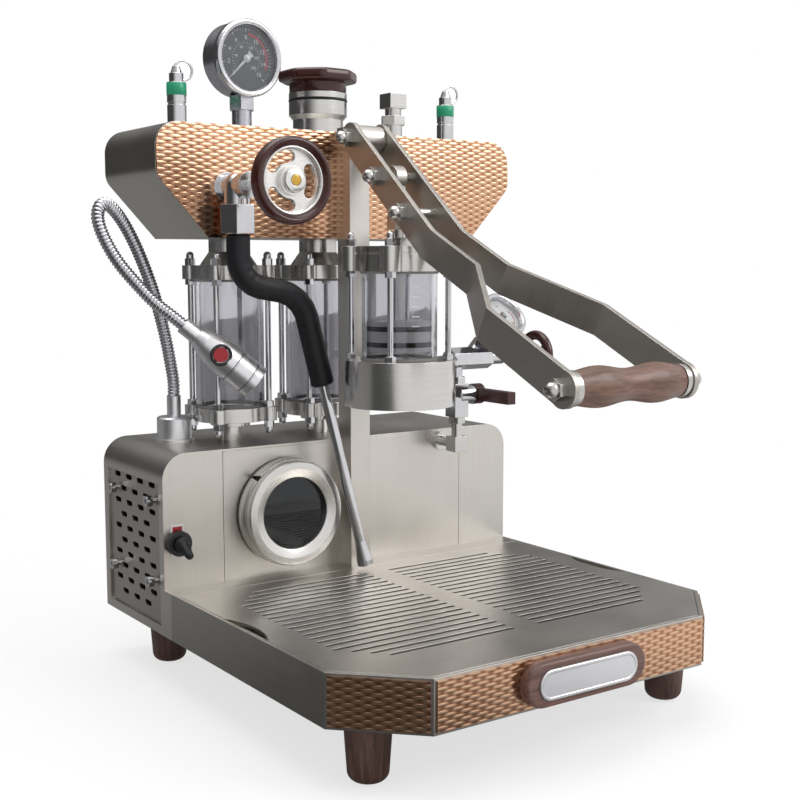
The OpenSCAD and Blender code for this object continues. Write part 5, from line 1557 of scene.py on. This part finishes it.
@dataclass
class SteamWheel:
    """Handwheel of the steam valve: rim, bright lip, boss and nut. Sizes are in millimetres."""

    place: Point = (-119.0, -108.0, 413.0)
    face: float = 3.5

    def rim(self) -> Profile:
        """Gives the section of the pressed rim: a rounded outer bead and a sloped inner face.

        Returns:
            Radius and height of each step.
        """
        return [
            (25.3, -4.0), (31.4, -3.9), (32.6, -2.8), (33.0, -1.0), (33.0, 3.6), (32.5, 5.8), (31.4, 7.2),
            (30.0, 7.8), (28.8, 7.5), (28.4, 7.0), (27.0, 6.2), (25.9, 4.6), (25.3, 4.4), (25.3, -4.0),
        ]

    def lip(self) -> Profile:
        """Gives the section of the disc's raised lip, which shows as a bright ring inside the rim.

        Returns:
            Radius and height of each step.
        """
        return [
            (23.2, -0.2), (23.5, 3.4), (24.0, 4.5), (24.7, 5.0), (25.4, 4.9), (25.8, 4.3), (25.4, 3.8),
            (25.2, -0.2), (23.2, -0.2),
        ]

    def dress(self) -> None:
        """Builds the wheel's pieces on its spindle."""
        wheel = frame_at(spot(*self.place), turn("X", 90))
        turned = lathe(wheel, self.rim(), count=160, ends=False)
        rim = piece("wheel_rim", turned, PHENOLIC, "steam_wheel", sharp=40)
        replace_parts(rim, "steam_wheel_rim")
        lip = lathe(wheel, self.lip(), count=128, ends=False)
        piece("wheel_lip", lip, CAST_ALUMINIUM, "steam_wheel", sharp=50)
        hub = wheel @ Matrix.Translation((0, 0, self.face * MM))
        boss = [(9.4, 0.0), (9.4, 2.6), (9.0, 3.6), (8.2, 4.2), (4.5, 4.7), (4.3, 4.4), (4.3, 0.0)]
        piece("wheel_boss", lathe(hub, boss, count=48), CAST_ALUMINIUM, "steam_wheel", sharp=40)
        nut = [(4.2, 0.0), (4.2, 4.5), (3.6, 4.9), (0.4, 5.0)]
        piece("wheel_nut", lathe(hub, nut, count=32), BRASS, "steam_wheel", sharp=30)


@dataclass
class Fittings:
    """Small pieces on the tank, the base and the group. Sizes are in millimetres."""

    fitting_y: float = 48.0
    tank_top: float = 464.0
    valve_xs: Tuple[float, float] = (-138.0, 143.0)
    knob_r: float = 36.0
    knob_sides: int = 8
    knob_corner: float = 1.058
    knob_steps: int = 96
    cap_z: float = 501.9
    collar_r: float = 25.5
    seal_r: float = 25.3
    seal_z: float = 31.2
    seal_wire: float = 1.15
    toggle: Point = (-168.0, -10.0, 122.0)
    toggle_lean: float = 25.0
    ball_r: float = 6.5
    plate_edge: float = 0.3
    marks_r: float = 31.62
    marks_y: float = -80.0
    marks_at: float = -100.0
    marks_half: float = 6.0
    marks_width: float = 0.6
    marks_zs: Tuple[float, ...] = (300.0, 308.0, 316.0, 324.0, 332.0)
    marks_steps: int = 8

    def bands(self) -> None:
        """Wraps a green band round the upper part of each safety valve."""
        profile = [
            (8.0, 26.2), (8.35, 26.5), (8.35, 36.2), (8.0, 36.5), (7.9, 36.5), (7.9, 26.2), (8.0, 26.2),
        ]
        for side, x in zip(("left", "right"), self.valve_xs):
            bm = lathe(frame_at(spot(x, self.fitting_y, self.tank_top)), profile, count=48, ends=False)
            piece(f"valve_band_{side}", bm, GREEN_TAPE, "machine", sharp=50)

    def knob_loop(self, place: Matrix, r: float, z: float, lobes: float) -> Loop:
        """Gives one level of the filler's knob.

        Args:
            place: Frame of the cap.
            r: Radius at the middle of a flat.
            z: Height of the level.
            lobes: Share of the flats that shows, from zero for a circle to one.

        Returns:
            Points round the knob, in metres.
        """
        half_side = math.pi / self.knob_sides
        loop = []
        for i in range(self.knob_steps):
            a = 2 * math.pi * i / self.knob_steps
            off = (a + half_side) % (2 * half_side) - half_side
            corner = min(1 / math.cos(off), self.knob_corner)
            reach = r * (1 + lobes * (corner - 1))
            loop.append(place @ (MM * Vector((reach * math.cos(a), reach * math.sin(a), z))))
        return loop

    def cap(self) -> None:
        """Builds the filler's cap: a round neck under a domed knob with eight soft flats."""
        place = frame_at(spot(0, self.fitting_y, self.cap_z))
        neck, flat = self.collar_r, self.knob_r * math.cos(math.pi / self.knob_sides)
        steps = [
            (neck - 0.4, 0.0, 0.0), (neck, 0.6, 0.0), (neck, 8.0, 0.0), (neck + 1.2, 9.0, 0.4),
            (flat - 2.5, 9.2, 1.0), (flat - 0.8, 9.8, 1.0), (flat, 11.2, 1.0), (flat, 16.6, 1.0),
            (flat - 1.0, 18.2, 1.0), (flat - 3.0, 19.0, 0.8), (flat * 0.7, 19.7, 0.4),
            (flat * 0.35, 20.1, 0.0), (0.6, 20.2, 0.0),
        ]
        knob = loft([self.knob_loop(place, r, z, lobes) for r, z, lobes in steps])
        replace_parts(piece("filler_knob", knob, PHENOLIC, "filler", sharp=50), "filler_cap")
        foot = frame_at(spot(0, self.fitting_y, self.tank_top))
        seal = lathe(foot, ring_profile(self.seal_r, self.seal_z, self.seal_wire), count=96, ends=False)
        piece("filler_seal", seal, RUBBER, "machine", sharp=80)

    def boot(self) -> None:
        """Builds the switch's rubber boot: a ball with folds under a tapered lever."""
        place = frame_at(spot(*self.toggle), turn("X", self.toggle_lean), turn("X", 90))
        profile = [(0.4, -6.4)]
        for degrees in range(15, 131, 12):
            a = math.radians(degrees)
            profile.append((self.ball_r * math.sin(a), -self.ball_r * math.cos(a)))
        profile += [
            (5.3, 5.2), (5.5, 6.0), (4.7, 6.8), (4.8, 7.6), (4.2, 8.6), (4.3, 9.4), (3.8, 10.6), (3.4, 14),
            (3.3, 15.6), (3.0, 16.8), (2.2, 17.6), (1.2, 18.0), (0.3, 18.05),
        ]
        turned = lathe(place, profile, count=40)
        cover = piece("toggle_cover", turned, RUBBER, "toggle", sharp=70)
        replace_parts(cover, "toggle_boot")

    def switch_plate(self) -> None:
        """Puts a small white plate with a red field behind the switch's collar."""
        x, _, z = self.toggle
        plates = (
            ("white", 5.7, -12.3, 15.0, 1.0, WHITE_PLASTIC, "white_plastic"),
            ("red", 4.3, 5.0, 13.6, 1.3, RED_PLASTIC, "red_plastic"),
        )
        for name, half, low, high, thick, finish, slot in plates:
            loops = []
            for inset, out in ((0.0, 0.0), (0.0, thick - self.plate_edge), (self.plate_edge, thick)):
                edge, foot, head = half - inset, low + inset, high - inset
                corners = [(-edge, foot), (edge, foot), (edge, head), (-edge, head)]
                loops.append([spot(x + u, -out, z + v) for u, v in corners])
            piece(f"switch_plate_{name}", loft(loops), finish, "machine", sharp=30)

    def graduations(self) -> None:
        """Prints short marks up the group's glass, on the side towards the front left."""
        bm = bmesh.new()
        r, middle, half = self.marks_r, math.radians(self.marks_at), math.radians(self.marks_half)
        turns = [middle + half * (2 * k / self.marks_steps - 1) for k in range(self.marks_steps + 1)]
        for z in self.marks_zs:
            foot = z - self.marks_width / 2
            rows = []
            for height in (foot, foot + self.marks_width):
                points = [spot(r * math.cos(a), self.marks_y + r * math.sin(a), height) for a in turns]
                rows.append([bm.verts.new(point) for point in points])
            low, high = rows
            for k in range(self.marks_steps):
                bm.faces.new((low[k], low[k + 1], high[k + 1], high[k]))
        piece("group_marks", bm, PRINT_WHITE, "machine")

    def dress(self) -> None:
        """Builds all small pieces."""
        self.bands()
        self.cap()
        self.boot()
        self.switch_plate()
        self.graduations()


@dataclass
class Studio:
    """Floor, plain soft light and the camera at the photograph's place.

    The camera's place is in millimetres, and what concerns the floor and the lamps in metres. Levels
    are shares of white. A lamp is its name, its place, the length of its side and its power in watts.
    """

    camera: Point = (-600.6, -941.0, 354.4)
    look: Point = (0.5688, 0.8146, -0.1130)
    lens: float = 56.66
    sensor: float = 36.0
    shift_y: float = 0.0029
    near: float = 0.01
    bright_side: Point = (0.6, -0.8, 0.0)
    side_from: Span = (-0.45, 0.55)
    side_to: Span = (0.07, 1.0)
    top_from: Span = (0.35, 0.9)
    top_level: float = 0.9
    matt_level: float = 0.62
    floor_half: float = 6.0
    floor_z: float = -0.0005
    floor_colour: Hex = "#F4F4F4"
    fade_from: Span = (0.25, 0.9)
    fade_to: Span = (0.7, 1.0)
    back_from: Span = (-0.1, 0.5)
    back_to: Span = (0.06, 0.3)
    ahead_from: Span = (0.1, 0.5)
    ahead_to: Span = (0.10, 1.0)
    middle: Point = (0.0, 0.0, 0.25)
    lamps: Tuple[Tuple[str, Point, float, float], ...] = (
        ("key", (1.3, -1.5, 1.7), 1.3, 26.0), ("top", (-0.1, 0.2, 2.2), 1.6, 24.0),
    )

    def metal_level(self, tree: Tree) -> bpy.types.NodeSocket:
        """Works out what metal sees of the world: bright on one side and above, dark behind.

        Args:
            tree: The world's tree.

        Returns:
            The level.
        """
        way = add(tree, "ShaderNodeTexCoord").outputs["Generated"]
        facing = {0: way, 1: self.bright_side}
        ahead = add(tree, "ShaderNodeVectorMath", facing, operation="DOT_PRODUCT").outputs["Value"]
        side_range = {
            "Value": ahead, "From Min": self.side_from[0], "From Max": self.side_from[1],
            "To Min": self.side_to[0], "To Max": self.side_to[1],
        }
        sides = add(tree, "ShaderNodeMapRange", side_range, interpolation_type="SMOOTHSTEP").outputs[0]
        height = add(tree, "ShaderNodeSeparateXYZ", {0: way}).outputs["Z"]
        top_range = {
            "Value": height, "From Min": self.top_from[0], "From Max": self.top_from[1],
            "To Max": self.top_level,
        }
        top = add(tree, "ShaderNodeMapRange", top_range).outputs[0]
        return add(tree, "ShaderNodeMath", {0: sides, 1: top}, operation="MAXIMUM").outputs[0]

    def world(self) -> None:
        """Lights the scene: white where it is seen, softer on matt faces, darker behind in metal."""
        world = bpy.data.worlds.new("studio")
        bpy.context.scene.world = world
        world.use_nodes = True
        tree = world.node_tree
        tree.nodes.clear()
        rays = add(tree, "ShaderNodeLightPath").outputs
        levels = {0: rays["Is Glossy Ray"], 2: self.matt_level, 3: self.metal_level(tree)}
        shine = add(tree, "ShaderNodeMix", levels, data_type="FLOAT").outputs[0]
        clear = {0: rays["Is Camera Ray"], 1: rays["Is Transmission Ray"]}
        seen = add(tree, "ShaderNodeMath", clear, operation="MAXIMUM").outputs[0]
        level = add(tree, "ShaderNodeMix", {0: seen, 2: shine, 3: 1.0}, data_type="FLOAT").outputs[0]
        sky = add(tree, "ShaderNodeBackground", {"Color": WHITE, "Strength": level})
        add(tree, "ShaderNodeOutputWorld", {"Surface": sky.outputs[0]})

    def lamp(self, name: str, place: Vector, target: Vector, size: float, watts: float) -> None:
        """Adds a soft square lamp.

        Args:
            name: Name of the lamp.
            place: Where it stands, in metres.
            target: What it shines on, in metres.
            size: Side of the lamp in metres.
            watts: Its power.
        """
        data = bpy.data.lights.new(name, "AREA")
        data.size = size
        data.energy = watts
        lamp = bpy.data.objects.new(name, data)
        lamp.location = place
        lamp.rotation_euler = (target - place).to_track_quat("-Z", "Y").to_euler()
        bpy.context.scene.collection.objects.link(lamp)

    def floor_seen(self, tree: Tree, place: bpy.types.NodeSocket) -> bpy.types.NodeSocket:
        """Builds the floor as it is seen: pale with a light shadow, and white further off.

        Args:
            tree: The floor's tree.
            place: Where a point of the floor is.

        Returns:
            The shader.
        """
        matt = add(tree, "ShaderNodeBsdfDiffuse", {"Color": linear(self.floor_colour)}).outputs[0]
        glow = add(tree, "ShaderNodeEmission", {"Color": WHITE, "Strength": 1.0}).outputs[0]
        away = add(tree, "ShaderNodeVectorMath", {0: place}, operation="LENGTH").outputs["Value"]
        fade_range = {
            "Value": away, "From Min": self.fade_from[0], "From Max": self.fade_from[1],
            "To Min": self.fade_to[0], "To Max": self.fade_to[1],
        }
        fade = add(tree, "ShaderNodeMapRange", fade_range, interpolation_type="SMOOTHSTEP").outputs[0]
        rays = add(tree, "ShaderNodeLightPath").outputs
        clear = {0: rays["Is Camera Ray"], 1: rays["Is Transmission Ray"]}
        seen = add(tree, "ShaderNodeMath", clear, operation="MAXIMUM").outputs[0]
        share = add(tree, "ShaderNodeMath", {0: seen, 1: fade}, operation="MULTIPLY").outputs[0]
        return add(tree, "ShaderNodeMixShader", {0: share, 1: matt, 2: glow}).outputs[0]

    def floor_mirrored(self, tree: Tree, place: bpy.types.NodeSocket) -> bpy.types.NodeSocket:
        """Builds the floor as metal sees it: dark near the machine, brighter ahead of it and behind.

        Args:
            tree: The floor's tree.
            place: Where a point of the floor is.

        Returns:
            The shader.
        """
        depth = add(tree, "ShaderNodeSeparateXYZ", {0: place}).outputs["Y"]
        back_range = {
            "Value": depth, "From Min": self.back_from[0], "From Max": self.back_from[1],
            "To Min": self.back_to[0], "To Max": self.back_to[1],
        }
        back = add(tree, "ShaderNodeMapRange", back_range, interpolation_type="SMOOTHSTEP").outputs[0]
        facing = {0: place, 1: self.bright_side}
        ahead = add(tree, "ShaderNodeVectorMath", facing, operation="DOT_PRODUCT").outputs["Value"]
        ahead_range = {
            "Value": ahead, "From Min": self.ahead_from[0], "From Max": self.ahead_from[1],
            "To Min": self.ahead_to[0], "To Max": self.ahead_to[1],
        }
        front = add(tree, "ShaderNodeMapRange", ahead_range, interpolation_type="SMOOTHSTEP").outputs[0]
        level = add(tree, "ShaderNodeMath", {0: back, 1: front}, operation="MAXIMUM").outputs[0]
        return add(tree, "ShaderNodeEmission", {"Color": WHITE, "Strength": level}).outputs[0]

    def floor_paint(self) -> bpy.types.Material:
        """Makes the floor's paint, which keeps the machine's shadow and shows dimmer in metal.

        Returns:
            The material.
        """
        paint = bpy.data.materials.new("floor_paint_white")
        paint.use_nodes = True
        tree = paint.node_tree
        tree.nodes.clear()
        place = add(tree, "ShaderNodeTexCoord").outputs["Object"]
        glossy = add(tree, "ShaderNodeLightPath").outputs["Is Glossy Ray"]
        links = {0: glossy, 1: self.floor_seen(tree, place), 2: self.floor_mirrored(tree, place)}
        mixed = add(tree, "ShaderNodeMixShader", links).outputs[0]
        add(tree, "ShaderNodeOutputMaterial", {"Surface": mixed})
        return paint

    def floor(self) -> None:
        """Lays the pale floor just under the feet."""
        bm = bmesh.new()
        bmesh.ops.create_grid(bm, x_segments=4, y_segments=4, size=self.floor_half)
        mesh = bpy.data.meshes.new("floor")
        bm.to_mesh(mesh)
        bm.free()
        floor = bpy.data.objects.new("floor", mesh)
        floor.location.z = self.floor_z
        bpy.context.scene.collection.objects.link(floor)
        mesh.materials.append(self.floor_paint())

    def view(self) -> None:
        """Puts the camera where the photograph was taken."""
        data = bpy.data.cameras.new("camera")
        data.lens = self.lens
        data.sensor_width = self.sensor
        data.shift_y = self.shift_y
        data.clip_start = self.near
        camera = bpy.data.objects.new("camera", data)
        camera.location = spot(*self.camera)
        camera.rotation_euler = Vector(self.look).to_track_quat("-Z", "Y").to_euler()
        bpy.context.scene.collection.objects.link(camera)
        bpy.context.scene.camera = camera

    def build(self) -> None:
        """Sets up the view, the floor and the light."""
        self.view()
        self.floor()
        self.world()
        for name, place, size, watts in self.lamps:
            self.lamp(name, Vector(place), Vector(self.middle), size, watts)
        bpy.context.scene.view_settings.view_transform = "Standard"


def main() -> None:
    """Builds the studio and dresses the machine, piece by piece."""
    logging.basicConfig(level=logging.INFO, format="%(message)s")
    Studio().build()
    Bodywork().dress()
    dressers: List[Callable[[], None]] = [
        Cladding().dress, Porthole().dress, Woodwork().dress, Badge().dress, Lamp().dress,
        SteamWand().dress, SteamWheel().dress, Fittings().dress,
    ]
    dressers += [gauge.dress for gauge in gauges()]
    for dress in dressers:
        dress()


if __name__ == "__main__":
    main()
